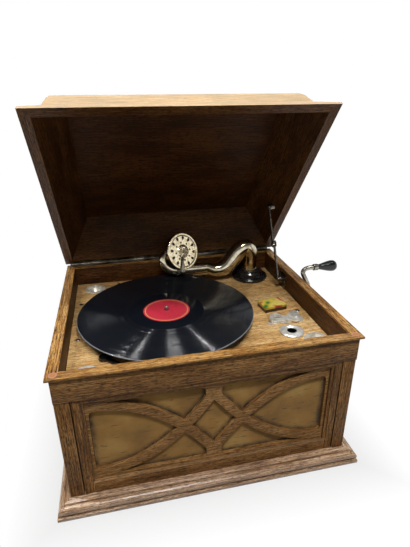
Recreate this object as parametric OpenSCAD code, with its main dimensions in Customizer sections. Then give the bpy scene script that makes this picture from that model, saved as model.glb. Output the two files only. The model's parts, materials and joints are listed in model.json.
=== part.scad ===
// Table gramophone with a hinged lid, an internal horn, a spring motor and a gooseneck tonearm.
// Origin: centre of the plinth underside. -Y is the grille front, +Z is up. The lid stands open.

/* [Cabinet] */
// Width of the cabinet walls
body_w = 431.5; // [425:0.5:450]
// Depth of the cabinet walls
body_d = 375.8; // [370:0.2:395]
// Thickness of the cabinet boards
wall_t = 11.3; // [9:0.1:11.5]
// Height of the top frame above the plinth underside
body_top = 230.3; // [226:0.1:236]
// Height of the joint between panels and top frame
rail_z = 192; // [190:0.5:193]
// How far the thin rim lip stands out past the walls
lip_out = 4.6; // [2:0.1:6]
// Thickness of the rim lip
lip_t = 3; // [2.5:0.1:4]
// Width of the corner posts
post_w = 20; // [16:0.5:24]
// Top surface of the motor board
deck_z = 194.2; // [193:0.1:195]
// Thickness of the motor board
deck_t = 8.2; // [7:0.1:9]

/* [Plinth] */
// How far the plinth stands out past the walls
plinth_out = 18.8; // [14:0.1:24]
// Height of the plinth moulding
plinth_h = 21; // [19:0.5:22]
// Thickness of the plinth's square foot edge
plinth_edge = 5; // [4:0.5:7]

/* [Grille] */
// Width of the grille frame's side members
stile_w = 15; // [12:0.5:17]
// Width of the curved fret bars
bar_w = 14; // [11:0.5:16]
// Thickness of the fretwork board
fret_t = 6; // [4:0.5:7]
// How far the fretwork lies behind the grille frame's face
fret_back = 6.5; // [5:0.1:7]

/* [Lid] */
// Opening angle of the lid as it stands
lid_open = 51.5; // [48:0.5:55]
// Height of the lid's sloping walls
lid_wall_h = 78; // [72:1:84]
// How far the walls lean in over that height
lid_lean = 38; // [34:0.5:40]
// Wall thickness at the lid's rim
lid_rim_t = 14.7; // [13:0.1:16]
// Thickness of the lid's top panel
lid_top_t = 6; // [5:0.5:12]

/* [Turntable] */
// Turntable and spindle position, left to right
spindle_x = -43.3; // [-46:0.1:-41]
// Turntable and spindle position, front to back
spindle_y = -8.7; // [-11:0.1:-7]
// Radius of the turntable
platter_r = 127; // [118:0.5:128]
// Top surface of the record
record_z = 214; // [213:0.1:214.5]
// Radius of the record
record_r = 150; // [125:0.5:152]
// Radius of the record's paper label
label_r = 40; // [36:0.5:42]

/* [Tonearm] */
// Distance of the tonearm pivot from the right wall
arm_side = 49.4; // [47:0.2:52]
// Distance of the tonearm pivot from the rear wall
arm_back = 39.6; // [39:0.2:42]
// Radius of the tonearm riser
riser_r = 14; // [13:0.1:14.5]
// Height of the straight part of the tonearm over the underside
arm_axis_z = 226; // [225.6:0.2:228]
// Radius of the tube at the gooseneck joint
neck_r = 9; // [8:0.1:9.5]
// Radius of the soundbox
soundbox_r = 36.5; // [33:0.5:37]
// Thickness of the soundbox
soundbox_t = 16; // [14.5:0.5:17]

/* [Crank] */
// Crank shaft height
crank_z = 140; // [139:0.5:141]
// Length of the crank arm
crank_throw = 108; // [95:1:112]
// Radius of the crank rod
crank_r = 4.5; // [4:0.1:5]
// Length of the crank's grip
grip_l = 40; // [34:1:44]

/* [Motor] */
// Teeth on the spring barrel
barrel_teeth = 64; // [60:1:66]
// Teeth on the spindle pinion
pinion_teeth = 16; // [15:1:17]
// Tooth module of the barrel and pinion
drive_module = 1.5; // [1.4:0.05:1.55]
// Teeth on the governor wheel
governor_teeth = 30; // [26:1:31]
// Teeth on the winding wheel
winding_teeth = 24; // [22:1:25]

/* [Hidden] */

$fn = 64;
// Radial clearance of a shaft that runs in a hole
running_gap = 0.05;
// Clearance between moving faces that must not rub
part_gap = 0.4;
// Small overshoot that lets a cut pass a face
eps = 1;

half_w = body_w / 2;
half_d = body_d / 2;
inner_x = half_w - wall_t;
inner_y = half_d - wall_t;
lip_top = body_top + lip_t;
deck_under = deck_z - deck_t;
plinth_x = half_w + plinth_out;
plinth_y = half_d + plinth_out;

oak = "#7a4f2a";
dark_oak = "#4a2f1a";
nickel = "#c9c4b4";
black = "#1a1a1a";
steel = "#8f8f8c";
brass = "#b0893c";

module box(x0, x1, y0, y1, z0, z1) {
  translate([x0, y0, z0]) cube([x1 - x0, y1 - y0, z1 - z0]);
}

// Cylinder along +X from x0 to x1 through the point (y, z)
module x_rod(x0, x1, y, z, r) {
  translate([x0, y, z]) rotate([0, 90, 0]) cylinder(r = r, h = x1 - x0);
}

module z_rod(x, y, z0, z1, r) {
  translate([x, y, z0]) cylinder(r = r, h = z1 - z0);
}

// Plinth: one bullnose profile run along both directions and met at the corners, with a quirk behind the nose
module plinth_profile(half) {
  bead = 3;
  quirk = 1.6;
  nose_r = (plinth_h - plinth_edge - bead) / 2;
  nose_x = half - 1.5 - nose_r;
  nose_z = plinth_edge + nose_r;
  difference() {
    union() {
      translate([-half, 0]) square([2 * half, plinth_edge]);
      translate([-nose_x, 0]) square([2 * nose_x, nose_z + nose_r]);
      for (side = [-1, 1]) translate([side * nose_x, nose_z]) circle(r = nose_r);
      translate([-nose_x + bead, 0]) square([2 * (nose_x - bead), plinth_h]);
    }
    for (side = [-1, 1]) translate([side * (nose_x - bead + quirk / 2), nose_z + nose_r])
      square([quirk, 2 * quirk], center = true);
  }
}

plinth_hole_x = inner_x - 12;
plinth_hole_y = inner_y - 12;
base_t = 9;

module plinth() {
  color(oak) difference() {
    intersection() {
      translate([0, plinth_y + eps, 0]) rotate([90, 0, 0])
        linear_extrude(2 * plinth_y + 2 * eps) plinth_profile(plinth_x);
      translate([-plinth_x - eps, 0, 0]) rotate([90, 0, 90])
        linear_extrude(2 * plinth_x + 2 * eps) plinth_profile(plinth_y);
    }
    box(-plinth_hole_x, plinth_hole_x, -plinth_hole_y, plinth_hole_y, -eps, plinth_h + eps);
  }
}

module base_board() {
  color(dark_oak)
    box(-plinth_hole_x, plinth_hole_x, -plinth_hole_y, plinth_hole_y, 0, base_t);
}

// Posts stand a little behind the face of the rail
post_set = 1.2;

module corner_posts() {
  color(oak) for (sx = [-1, 1], sy = [-1, 1]) {
    translate([sx * (half_w - post_w / 2), sy * (half_d - (wall_t + post_set) / 2), plinth_h])
      linear_extrude(rail_z - plinth_h) square([post_w, wall_t - post_set], center = true);
  }
}

module side_panel(x0) {
  box(x0, x0 + wall_t, -inner_y, inner_y, plinth_h, rail_z);
}

crank_y = 10;
shaft_bore = crank_r + 2;

module left_side_panel() {
  color(oak) side_panel(-half_w);
}

module right_side_panel() {
  color(oak) difference() {
    side_panel(inner_x);
    x_rod(inner_x - eps, half_w + eps, crank_y, crank_z, shaft_bore);
  }
}

back_t = 6;

module back_panel() {
  span = half_w - post_w;
  color(oak) box(-span, span, half_d - 2 - back_t, half_d - 2, plinth_h, rail_z);
}

module top_frame() {
  color(oak) difference() {
    box(-half_w, half_w, -half_d, half_d, rail_z, body_top);
    box(-inner_x, inner_x, -inner_y, inner_y, rail_z - eps, body_top + eps);
  }
}

// Lid hinge: a pin along X at the rear edge of the rim
hinge_back = 2.5;
hinge_y = half_d + lip_out + hinge_back;
lid_gap = 0.3;
hinge_z = lip_top + lid_gap / 2;
knuckle_r = hinge_back - 0.3;
leaf_t = 1;
leaf_w = 12;
hinge_l = 2 * half_w - 1.5;
hinge_count = 10;

buffer_r = 5.8;
buffer_x = half_w - 5.3;
buffer_y = -half_d + 5.3;

module rim_lip() {
  color(oak) difference() {
    box(-half_w - lip_out, half_w + lip_out, -half_d - lip_out, half_d + lip_out, body_top, lip_top);
    box(-inner_x, inner_x, -inner_y, inner_y, body_top - eps, lip_top + eps);
    box(-hinge_l / 2, hinge_l / 2, hinge_y - leaf_w, hinge_y + eps, lip_top - leaf_t, lip_top + eps);
    for (side = [-1, 1]) z_rod(side * buffer_x, buffer_y, body_top - eps, lip_top + eps, buffer_r);
  }
}

module lid_buffers() {
  color("#a06a58") for (side = [-1, 1]) z_rod(side * buffer_x, buffer_y, body_top, lip_top + 0.1, buffer_r);
}

// Grille: frame, fretwork and cloth in layers behind the front
grille_face = -half_d + 2 * post_set;
frame_half = half_w - post_w - 1.4;
frame_gap = 1;
frame_top = rail_z - frame_gap;
frame_rail = 12;
frame_sill = 19;
open_x = frame_half - stile_w;
open_z0 = plinth_h + frame_sill;
open_z1 = rail_z - frame_rail;
fret_front = grille_face + fret_back;
fret_rear = fret_front + fret_t;
cloth_t = 1;

module grille_frame() {
  chamfer = 4;
  step_w = 4.5;
  step_d = 2.2;
  color(oak) difference() {
    box(-frame_half, frame_half, grille_face, fret_front, plinth_h, frame_top);
    box(-open_x - step_w, open_x + step_w, grille_face - eps, grille_face + step_d,
        open_z0, open_z1 + step_w);
    box(-open_x, open_x, grille_face - eps, fret_front + eps, open_z0, open_z1);
    translate([-open_x, grille_face, open_z0]) rotate([45, 0, 0])
      cube([2 * open_x, chamfer * sqrt(2), chamfer * sqrt(2)], center = false);
  }
}

fret_mid = (open_z0 + open_z1) / 2;
fret_half_h = (open_z1 - open_z0) / 2;
// Fall of a curved bar's centreline below its own end, and the slope of it, at u from 0 (edge) to 1 (centre)
bar_fall = 113.4;
bar_power = 2.24;
function bar_drop(u) = bar_fall * pow(u, bar_power);
function bar_slope(u) = -bar_fall * bar_power * pow(u, bar_power - 1) / open_x;
fret_steps = 24;
bar_inset = 10;
fret_border = 4;
web_w = 24;
web_h = 26;
corner_r = 8;
web_r = 7;

// One curved bar: a ribbon of even width about the centreline
module fret_bar() {
  pts = [for (i = [0:fret_steps]) let (u = i / fret_steps)
    [(u - 1) * open_x, fret_half_h - bar_inset - bar_drop(u)]];
  slopes = [for (i = [0:fret_steps]) bar_slope(i / fret_steps)];
  function side_point(i, s) = pts[i] + s * bar_w / 2 * [-slopes[i], 1] / sqrt(1 + slopes[i] * slopes[i]);
  polygon(concat([for (i = [0:fret_steps]) side_point(i, 1)],
                 [for (i = [fret_steps:-1:0]) side_point(i, -1)]));
}

// Rounding for the outer corner of an end opening
module fret_corner() {
  x = -open_x + fret_border;
  z = fret_half_h - bar_inset - bar_w / 2 + 0.5;
  difference() {
    translate([x - 1, z - corner_r]) square(corner_r + 1);
    translate([x + corner_r, z - corner_r]) circle(r = corner_r);
  }
}

// Rounding where the middle web meets the border
module web_corner() {
  x = -web_w / 2;
  z = fret_half_h - fret_border;
  difference() {
    translate([x - web_r, z - web_r]) square(web_r + 1);
    translate([x - web_r, z - web_r]) circle(r = web_r);
  }
}

module fret_pattern() {
  edge_x = open_x + 10;
  edge_z = fret_half_h + 4;
  difference() {
    translate([-edge_x, -edge_z]) square([2 * edge_x, 2 * edge_z]);
    difference() {
      translate([-open_x + fret_border, -fret_half_h + fret_border])
        square([2 * (open_x - fret_border), 2 * (fret_half_h - fret_border)]);
      for (mx = [0, 1], mz = [0, 1]) mirror([mx, 0]) mirror([0, mz]) {
        fret_bar();
        fret_corner();
        web_corner();
      }
      for (mz = [0, 1]) mirror([0, mz]) translate([-web_w / 2, fret_half_h - web_h]) square([web_w, web_h]);
    }
  }
}

module fretwork() {
  color(oak) translate([0, fret_rear, fret_mid]) rotate([90, 0, 0]) linear_extrude(fret_t) fret_pattern();
}

module grille_cloth() {
  color("#9a7238") box(-open_x - 8, open_x + 8, fret_rear, fret_rear + cloth_t, open_z0 - 3, open_z1 + 3);
}

// Horn: a flat flaring duct under the motor, fed by a throat below the tonearm
horn_wall = 4;
horn_front = fret_rear + cloth_t;
mouth_x = open_x - 2.2;
mouth_z0 = plinth_h + 9;
mouth_z1 = 102;
throat_r = 15;
throat_bend = 26;
throat_z = 62;
arm_x = inner_x - arm_side;
arm_y = inner_y - arm_back;
throat_y = arm_y - throat_bend;
throat_end_y = throat_y - 20;

module horn_shape(t, over) {
  hull() {
    box(-mouth_x + t, mouth_x - t, horn_front - over, horn_front + 1 - over, mouth_z0 + t, mouth_z1 - t);
    box(arm_x - throat_r - 8 + t, arm_x + throat_r + 8 - t, throat_end_y - 1 + over, throat_end_y + over,
        throat_z - throat_r - 8 + t, throat_z + throat_r + 8 - t);
  }
}

module horn() {
  color(dark_oak) difference() {
    horn_shape(0, 0);
    horn_shape(horn_wall, eps);
  }
}

module horn_throat() {
  color(steel) difference() {
    union() {
      z_rod(arm_x, arm_y, throat_z + throat_bend, deck_under, throat_r + 2);
      throat_bend_solid(throat_r + 2);
      translate([arm_x, throat_y, throat_z]) rotate([90, 0, 0]) cylinder(r = throat_r + 2, h = 20);
      translate([arm_x, throat_end_y + 3, throat_z]) rotate([90, 0, 0]) cylinder(r = throat_r + 7, h = 3);
    }
    z_rod(arm_x, arm_y, throat_z + throat_bend, deck_under + eps, throat_r);
    throat_bend_solid(throat_r);
    translate([arm_x, throat_y, throat_z]) rotate([90, 0, 0]) cylinder(r = throat_r, h = 21);
  }
}

// Quarter bend from straight down to the front
module throat_bend_solid(r) {
  translate([arm_x, throat_y, throat_z + throat_bend]) rotate([90, 0, 90]) rotate([0, 0, -90])
    rotate_extrude(angle = 90) translate([throat_bend, 0]) circle(r = r);
}

batten_t = 12;
batten_in = 26;

module deck_battens() {
  color(dark_oak) for (side = [0, 1]) mirror([side, 0, 0]) difference() {
    box(inner_x - batten_t, inner_x, -inner_y + batten_in, inner_y - batten_in,
        deck_under - batten_t, deck_under);
    for (site = cup_sites)
      z_rod((1 - 2 * side) * site.x, site.y, deck_under - batten_t - eps, deck_under + eps, cup_hole + 0.3);
  }
}

// Motor board and what stands on it
cup_r = 20;
cup_hole = 16;
cup_sites = [[-inner_x + 36.4, inner_y - 29.6], [-inner_x + 29.4, -inner_y + 40.6],
             [inner_x - 22.4, -inner_y + 50.6]];
used_cup = [inner_x - 51.4, -inner_y + 82.1];
spindle_r = 4;
board_fit = 0.3;
screw_x = inner_x - 12.4;
screw_y = inner_y - 14;
screw_sites = [[-screw_x, 85], [-screw_x, -40], [screw_x, -30],
               [-120, screw_y], [60, screw_y], [60, -screw_y]];
screw_r = 4;
screw_shank = 1.5;
speed_pivot = [inner_x - 27.4, -inner_y + 119.6];
// The brake stands front left of the turntable, just off its rim
brake_pivot = [spindle_x, spindle_y] + (platter_r + 16.06) * [-0.7458, -0.6661];
stud_r = 3;

module motor_board() {
  color("#a9783f") difference() {
    box(-inner_x + board_fit, inner_x - board_fit, -inner_y + board_fit, inner_y - board_fit,
        deck_under, deck_z);
    z_rod(spindle_x, spindle_y, deck_under - eps, deck_z + eps, spindle_r + 5);
    z_rod(arm_x, arm_y, deck_under - eps, deck_z + eps, throat_r);
    for (site = concat(cup_sites, [used_cup]))
      z_rod(site.x, site.y, deck_under - eps, deck_z + eps, cup_hole + 0.3);
    for (site = screw_sites) z_rod(site.x, site.y, deck_under - eps, deck_z + eps, screw_shank);
    for (site = [speed_pivot, brake_pivot])
      z_rod(site.x, site.y, deck_under - eps, deck_z + eps, stud_r + running_gap);
  }
}

module deck_screws() {
  color(nickel) for (site = screw_sites) translate([site.x, site.y, deck_z]) difference() {
    union() {
      translate([0, 0, -deck_t]) cylinder(r = screw_shank, h = deck_t);
      intersection() {
        translate([0, 0, -screw_r]) sphere(r = screw_r * sqrt(2));
        cylinder(r = screw_r, h = screw_r);
      }
    }
    box(-screw_r, screw_r, -0.5, 0.5, 1, screw_r);
  }
}

// Spring motor: top plate, pillars and base plate carry the trains
spacer_h = 6;
plate_t = 4;
plate_top = deck_under - spacer_h;
plate_under = plate_top - plate_t;
motor_floor = 112;
motor_x0 = -112;
motor_x1 = 80;
motor_y0 = -84;
motor_y1 = 42;
pillar_in = 7;
pillar_r = 5;
pillar_sites = [for (x = [motor_x0 + pillar_in, motor_x1 - pillar_in])
                for (y = [motor_y0 + pillar_in, motor_y1 - pillar_in]) [x, y]];

// Drive train positions, worked out from the tooth counts
drive_distance = drive_module * (barrel_teeth + pinion_teeth) / 2;
winding_module = 2;
winding_worm_r = 8;
winding_distance = winding_module * winding_teeth / 2 + winding_worm_r;
barrel_y = crank_y - winding_distance;
barrel_x = spindle_x + sqrt(drive_distance * drive_distance - pow(spindle_y - barrel_y, 2));
mesh_angle = atan2(spindle_y - barrel_y, spindle_x - barrel_x);
governor_module = 1.25;
governor_worm_r = 5;
governor_y = spindle_y - governor_module * governor_teeth / 2 - governor_worm_r;
governor_z = 137;
barrel_z = 151;
barrel_ring_h = 6;
barrel_h = 21;
arbor_r = 4;
pivot_r = 3;

module motor_plate(z, bores) {
  difference() {
    box(motor_x0, motor_x1, motor_y0, motor_y1, z, z + plate_t);
    for (bore = bores) z_rod(bore[0], bore[1], z - eps, z + plate_t + eps, bore[2] + running_gap);
  }
}

module motor_top_plate() {
  color(steel) union() {
    motor_plate(plate_under, [[spindle_x, spindle_y, spindle_r], [barrel_x, barrel_y, pivot_r]]);
    for (site = pillar_sites) z_rod(site.x, site.y, plate_top, deck_under, pillar_r);
  }
}

module motor_pillars() {
  color(steel) for (site = pillar_sites) z_rod(site.x, site.y, motor_floor, plate_under, pillar_r);
}

module motor_base_plate() {
  color(steel)
    motor_plate(motor_floor - plate_t, [[spindle_x, spindle_y, pivot_r], [barrel_x, barrel_y, pivot_r]]);
}

// Hangers under the top plate for the governor and the winding shaft
governor_x0 = -106;
governor_x1 = spindle_x + 6.8;
hanger_t = 2.2;
bearing_x = 62;

module hanger(x, y0, y1, y, z, r, t) {
  difference() {
    box(x, x + t, y0, y1, z - r - 4, plate_under);
    x_rod(x - eps, x + t + eps, y, z, r + running_gap);
  }
}

module motor_bearings() {
  color(brass) union() {
    hanger(governor_x0, governor_y - 6, governor_y + 6, governor_y, governor_z, 2, hanger_t);
    hanger(governor_x1, governor_y - 6, governor_y + 3.3, governor_y, governor_z, 2, hanger_t);
    hanger(bearing_x, crank_y - 10, crank_y + 10, crank_y, crank_z, crank_r, 5);
  }
}

// Gear with straight-sided teeth, slim enough to run with plain backlash
module gear_outline(teeth, m, fill) {
  pitch_r = m * teeth / 2;
  step = 360 / teeth;
  tip = pitch_r + 0.9 * m;
  root = pitch_r - 1.2 * m;
  polygon([for (i = [0:teeth - 1], k = [[-0.66, root], [-0.32, tip], [0.32, tip], [0.66, root]])
    let (a = step * (i + k[0] * fill)) k[1] * [cos(a), sin(a)]]);
}

// Worm thread: a ridge on a core, carried round as it advances
module worm(core, crest, starts, lead, turns, ridge) {
  slices = 20;
  core_steps = 10;
  ridge_steps = 3;
  span = 360 / starts;
  linear_extrude(lead * turns, center = true, twist = -360 * turns, slices = slices * turns)
    polygon([for (s = [0:starts - 1], p = concat(
        [for (i = [0:ridge_steps]) [crest, ridge * (i / ridge_steps - 0.5)]],
        [for (i = [0:core_steps]) [core, ridge / 2 + (span - ridge) * i / core_steps]]))
      let (a = s * span + p[1]) p[0] * [cos(a), sin(a)]]);
}

platter_top = record_z - 4.5;
felt_t = 2;
record_t = 2.5;
spindle_top = record_z + 8;
spindle_tip_r = 3.5;
pinion_z = barrel_z - 0.5;
pinion_h = barrel_ring_h + 1;

module spindle() {
  color(steel) union() {
    z_rod(spindle_x, spindle_y, motor_floor - plate_t, motor_floor, pivot_r);
    z_rod(spindle_x, spindle_y, motor_floor + 0.2, platter_top - 9, spindle_r);
    z_rod(spindle_x, spindle_y, motor_floor - 0.5, motor_floor + 0.5, pivot_r);
    z_rod(spindle_x, spindle_y, platter_top - 9, spindle_top - 3, spindle_tip_r);
    translate([spindle_x, spindle_y, spindle_top - 3]) intersection() {
      sphere(r = spindle_tip_r);
      cylinder(r = spindle_tip_r, h = spindle_tip_r);
    }
    translate([spindle_x, spindle_y, pinion_z]) rotate([0, 0, mesh_angle + 180 + 180 / pinion_teeth])
      linear_extrude(pinion_h) gear_outline(pinion_teeth, drive_module, 0.4);
    translate([spindle_x, spindle_y, governor_z - 2]) rotate([0, 0, -90])
      linear_extrude(4) gear_outline(governor_teeth, governor_module, 0.34);
  }
}

module platter() {
  skirt = 11;
  color("#8a8a84") translate([spindle_x, spindle_y, platter_top]) rotate_extrude($fn = 96)
    polygon([[spindle_tip_r, 0], [platter_r - 1, 0], [platter_r, -1], [platter_r, -skirt],
             [platter_r - 3, -skirt], [platter_r - 3, -3], [14, -3], [14, -9], [spindle_tip_r, -9]]);
}

module platter_felt() {
  color("#3c2a22") translate([spindle_x, spindle_y, platter_top]) difference() {
    cylinder(r = platter_r - 1.5, h = felt_t, $fn = 96);
    translate([0, 0, -eps]) cylinder(r = spindle_tip_r + 0.1, h = felt_t + 2 * eps);
  }
}

label_sink = 0.3;

module record() {
  bottom = platter_top + felt_t;
  color(black) translate([spindle_x, spindle_y, bottom]) rotate_extrude($fn = 128)
    polygon([[spindle_tip_r + 0.1, 0], [record_r - 1, 0], [record_r, record_t / 2], [record_r - 1, record_t],
             [label_r + 0.1, record_t], [label_r + 0.1, record_t - label_sink],
             [spindle_tip_r + 0.1, record_t - label_sink]]);
}

module record_label() {
  color("#a31826") translate([spindle_x, spindle_y, record_z - label_sink]) difference() {
    cylinder(r = label_r, h = label_sink + 0.1);
    translate([0, 0, -eps]) cylinder(r = spindle_tip_r + 0.2, h = 2 * eps + label_sink);
  }
}

drum_r = 44;
drum_wall = 2;

module spring_barrel() {
  color(brass) translate([barrel_x, barrel_y, barrel_z]) difference() {
    union() {
      rotate([0, 0, mesh_angle]) linear_extrude(barrel_ring_h) gear_outline(barrel_teeth, drive_module, 0.45);
      cylinder(r = drum_r, h = barrel_h);
    }
    translate([0, 0, drum_wall]) difference() {
      cylinder(r = drum_r - drum_wall, h = barrel_h - 2 * drum_wall);
      translate([0, 0, -eps]) cylinder(r = arbor_r + 3, h = 3 + eps);
    }
    translate([0, 0, -eps]) cylinder(r = arbor_r + running_gap, h = barrel_h + 2 * eps);
  }
}

// Mainspring: the wound pack of ribbon against the drum wall
spring_in = 24;

module mainspring() {
  color("#4c5560") translate([barrel_x, barrel_y, barrel_z + drum_wall]) difference() {
    cylinder(r = drum_r - drum_wall - 0.1, h = barrel_h - 2 * drum_wall - 0.2);
    translate([0, 0, -eps]) cylinder(r = spring_in, h = barrel_h);
  }
}

module winding_arbor() {
  color(steel) union() {
    z_rod(barrel_x, barrel_y, motor_floor - plate_t, plate_top, pivot_r);
    z_rod(barrel_x, barrel_y, motor_floor + 0.2, plate_under - 0.2, arbor_r);
    translate([barrel_x, barrel_y, crank_z - 2.5]) rotate([0, 0, 90])
      linear_extrude(5) gear_outline(winding_teeth, winding_module, 0.3);
    z_rod(barrel_x, barrel_y, crank_z + 2.5, barrel_z - 0.3, arbor_r + 4);
  }
}

// Governor: shaft with worm, three weights on leaf springs, and a brake disc
weight_r = 5.5;
weight_at = 13;

module governor() {
  lead = PI * governor_module;
  near = -56;
  far = -98;
  color(brass) translate([0, governor_y, governor_z]) union() {
    x_rod(governor_x0 - 1, governor_x1 + hanger_t + 1, 0, 0, 2);
    translate([spindle_x, 0, 0]) rotate([0, 90, 0]) rotate([0, 0, -90])
      worm(governor_worm_r - 1.5, governor_worm_r + 1.1, 1, lead, 2, 92);
    x_rod(near - 4, near, 0, 0, 6);
    x_rod(far, far + 4, 0, 0, 6);
    x_rod(far - 2, far, 0, 0, 15);
    for (k = [0:2]) rotate([k * 120, 0, 0]) {
      translate([0, 3, 0]) rotate([90, 0, 0]) linear_extrude(6)
        polygon([[near - 4, 4], [near - 4, 6], [-69, weight_at], [-85, weight_at], [far + 4, 6],
                 [far + 4, 4], [-84, weight_at - 1], [-70, weight_at - 1]]);
      translate([-77, 0, weight_at - 0.5]) cylinder(r = weight_r, h = 7);
    }
  }
}

// Crank: a rod bent in one plane that is tipped back from upright
crank_lean = 22;
crank_x = half_w + 17;
grip_x = crank_x + 33.5;
grip_pin = 3;
ferrule_l = 8;
// Points of the bent rod as [out from the shaft's end, share of the throw]
crank_bends = [[1, 0], [6, 0.012], [10.5, 0.055], [12, 0.12], [12, 0.37], [11.5, 0.57], [10, 0.69],
               [6.5, 0.79], [3, 0.865], [2, 0.915], [4, 0.96], [9, 0.987], [16, 0.998], [22, 1], [28, 1]];

module crank_handle() {
  winding_lead = 2 * PI * winding_module;
  bends = concat([[crank_x - 4, 0, 0, crank_r - 0.3]],
                 [for (p = crank_bends) [crank_x + p[0], 0, p[1] * crank_throw, crank_r]]);
  color(nickel) translate([0, crank_y, crank_z]) union() {
    x_rod(barrel_x - winding_lead / 2 - 3, barrel_x + winding_lead / 2 + 2.5, 0, 0, winding_worm_r - 2.4);
    x_rod(barrel_x + winding_lead / 2 + 2, crank_x, 0, 0, crank_r);
    translate([barrel_x, 0, 0]) rotate([0, 90, 0])
      worm(winding_worm_r - 2.2, winding_worm_r + 1.6, 2, winding_lead, 1, 36);
    rotate([-crank_lean, 0, 0]) {
      swept_tube(spline(bends, 3), 16);
      x_rod(grip_x - ferrule_l - 0.3, grip_x - 0.3, 0, crank_throw, crank_r + 2);
      x_rod(grip_x - 1, grip_x + grip_l - 4, 0, crank_throw, grip_pin);
    }
  }
}

// Grip: a pear on a pin, as [radius, share of its length]
grip_shape = [[0, 0], [5.4, 0], [5.2, 0.06], [6, 0.16], [8, 0.35], [10, 0.55], [11, 0.72], [10.6, 0.84],
              [8.8, 0.93], [5.5, 0.985], [0, 1]];

module crank_grip() {
  color(black) translate([0, crank_y, crank_z]) rotate([-crank_lean, 0, 0])
    translate([grip_x, 0, crank_throw]) rotate([0, 90, 0]) difference() {
      rotate_extrude() polygon([for (p = grip_shape) [p[0], p[1] * grip_l]]);
      translate([0, 0, -eps]) cylinder(r = grip_pin + running_gap, h = grip_l - 3 + eps);
    }
}

module crank_escutcheon() {
  color(nickel) translate([half_w, crank_y, crank_z]) rotate([0, 90, 0]) difference() {
    rotate_extrude()
      polygon([[0, -wall_t], [shaft_bore, -wall_t], [shaft_bore, 0], [18, 0], [18, 1], [16, 2.2],
               [9, 2.2], [8, 4], [0, 4]]);
    translate([0, 0, -wall_t - eps]) cylinder(r = crank_r + running_gap, h = wall_t + 6);
  }
}

// Tonearm: base casting, riser and a tapering tube that dips over the record
base_top = deck_z + 19;
base_r = 37;

module tonearm_base() {
  color(black) translate([arm_x, arm_y, deck_z]) difference() {
    rotate_extrude($fn = 96) polygon([[0, 0], [base_r, 0], [base_r, 4], [base_r - 1.5, 6], [base_r - 8, 7.5],
                                      [base_r - 10, 9], [base_r - 10, 14], [base_r - 12, 16.5],
                                      [base_r - 17, 17.5], [base_r - 18, base_top - deck_z],
                                      [0, base_top - deck_z]]);
    translate([0, 0, -eps]) cylinder(r = throat_r, h = 5 + eps);
    translate([0, 0, 4]) cylinder(r = riser_r + running_gap, h = base_top);
  }
}

riser_top = deck_z + 44;

module tonearm_riser() {
  color(nickel) translate([arm_x, arm_y, deck_z + 4.2]) difference() {
    union() {
      cylinder(r = riser_r, h = riser_top - deck_z - 4.2);
      translate([0, 0, base_top - deck_z - 3.9]) cylinder(r = riser_r + 2.5, h = 3);
    }
    translate([0, 0, -eps]) cylinder(r = riser_r - 2, h = riser_top - deck_z - 8);
  }
}

// Smooth curve through points, with a share t of span i
function spline_at(p, i, t) =
  let (a = p[max(i - 1, 0)], b = p[i], c = p[i + 1], d = p[min(i + 2, len(p) - 1)])
  0.5 * (2 * b + (c - a) * t + (2 * a - 5 * b + 4 * c - d) * t * t + (3 * b - a - 3 * c + d) * t * t * t);
function spline(p, n) =
  concat([for (i = [0:len(p) - 2], k = [0:n - 1]) spline_at(p, i, k / n)], [p[len(p) - 1]]);
function unit(v) = v / norm(v);

// Round tube along a path of [x, y, z, r] points, with closed flat ends
module swept_tube(path, sides) {
  last = len(path) - 1;
  at = [for (p = path) [p[0], p[1], p[2]]];
  along = [for (i = [0:last]) unit(at[min(i + 1, last)] - at[max(i - 1, 0)])];
  across = [for (v = along) unit(cross(v, [0, 1, 0.05]))];
  points = [for (i = [0:last], k = [0:sides - 1])
    let (a = 360 * k / sides)
      at[i] + path[i][3] * (cos(a) * across[i] + sin(a) * cross(along[i], across[i]))];
  walls = [for (i = [0:last - 1], k = [0:sides - 1]) let (a = i * sides + k, b = i * sides + (k + 1) % sides)
    each [[a, a + sides, b], [b, a + sides, b + sides]]];
  ends = [[for (k = [0:sides - 1]) k], [for (k = [sides - 1:-1:0]) last * sides + k]];
  polyhedron(points, concat(walls, ends), convexity = 4);
}

arm_axis_y = arm_y - 3;
neck_x = arm_x - 115;
socket_l = 16;
socket_r = neck_r + 2;
joint_gap = 0.3;
// The tube leaves the riser upward, bends over and dips to the straight socket
arm_path = [
  [arm_x, arm_y, riser_top, riser_r],
  [arm_x, arm_y, riser_top + 3, riser_r],
  [arm_x, arm_y, riser_top + 9, riser_r + 0.3],
  [arm_x - 3, arm_y, riser_top + 19, riser_r + 1],
  [arm_x - 12, arm_y, riser_top + 25, riser_r + 1.8],
  [arm_x - 24, arm_y, riser_top + 18, riser_r + 2.9],
  [arm_x - 36, arm_y - 0.5, arm_axis_z + 15.5, riser_r + 3.6],
  [arm_x - 49, arm_y - 1.5, arm_axis_z + 0.8, riser_r + 3.8],
  [arm_x - 63, arm_axis_y + 0.5, arm_axis_z - 6, riser_r + 2.6],
  [arm_x - 77, arm_axis_y, arm_axis_z - 6.6, riser_r + 0.4],
  [arm_x - 87, arm_axis_y, arm_axis_z - 3.2, socket_r + 1.5],
  [arm_x - 94, arm_axis_y, arm_axis_z - 0.3, socket_r + 0.3],
  [neck_x + socket_l + 2, arm_axis_y, arm_axis_z, socket_r],
  [neck_x + socket_l, arm_axis_y, arm_axis_z, socket_r]
];

module tonearm_tube() {
  color(nickel) difference() {
    union() {
      swept_tube(spline(arm_path, 4), 24);
      x_rod(neck_x, neck_x + socket_l + 0.5, arm_axis_y, arm_axis_z, socket_r);
    }
    x_rod(neck_x - eps, neck_x + socket_l, arm_axis_y, arm_axis_z, neck_r + running_gap);
  }
}

// Soundbox frame: its own axis points out of the front
box_at = [arm_x - 145, arm_y - 18, 271];
box_turn = 30.3;
box_tilt = 18.7;

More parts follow.
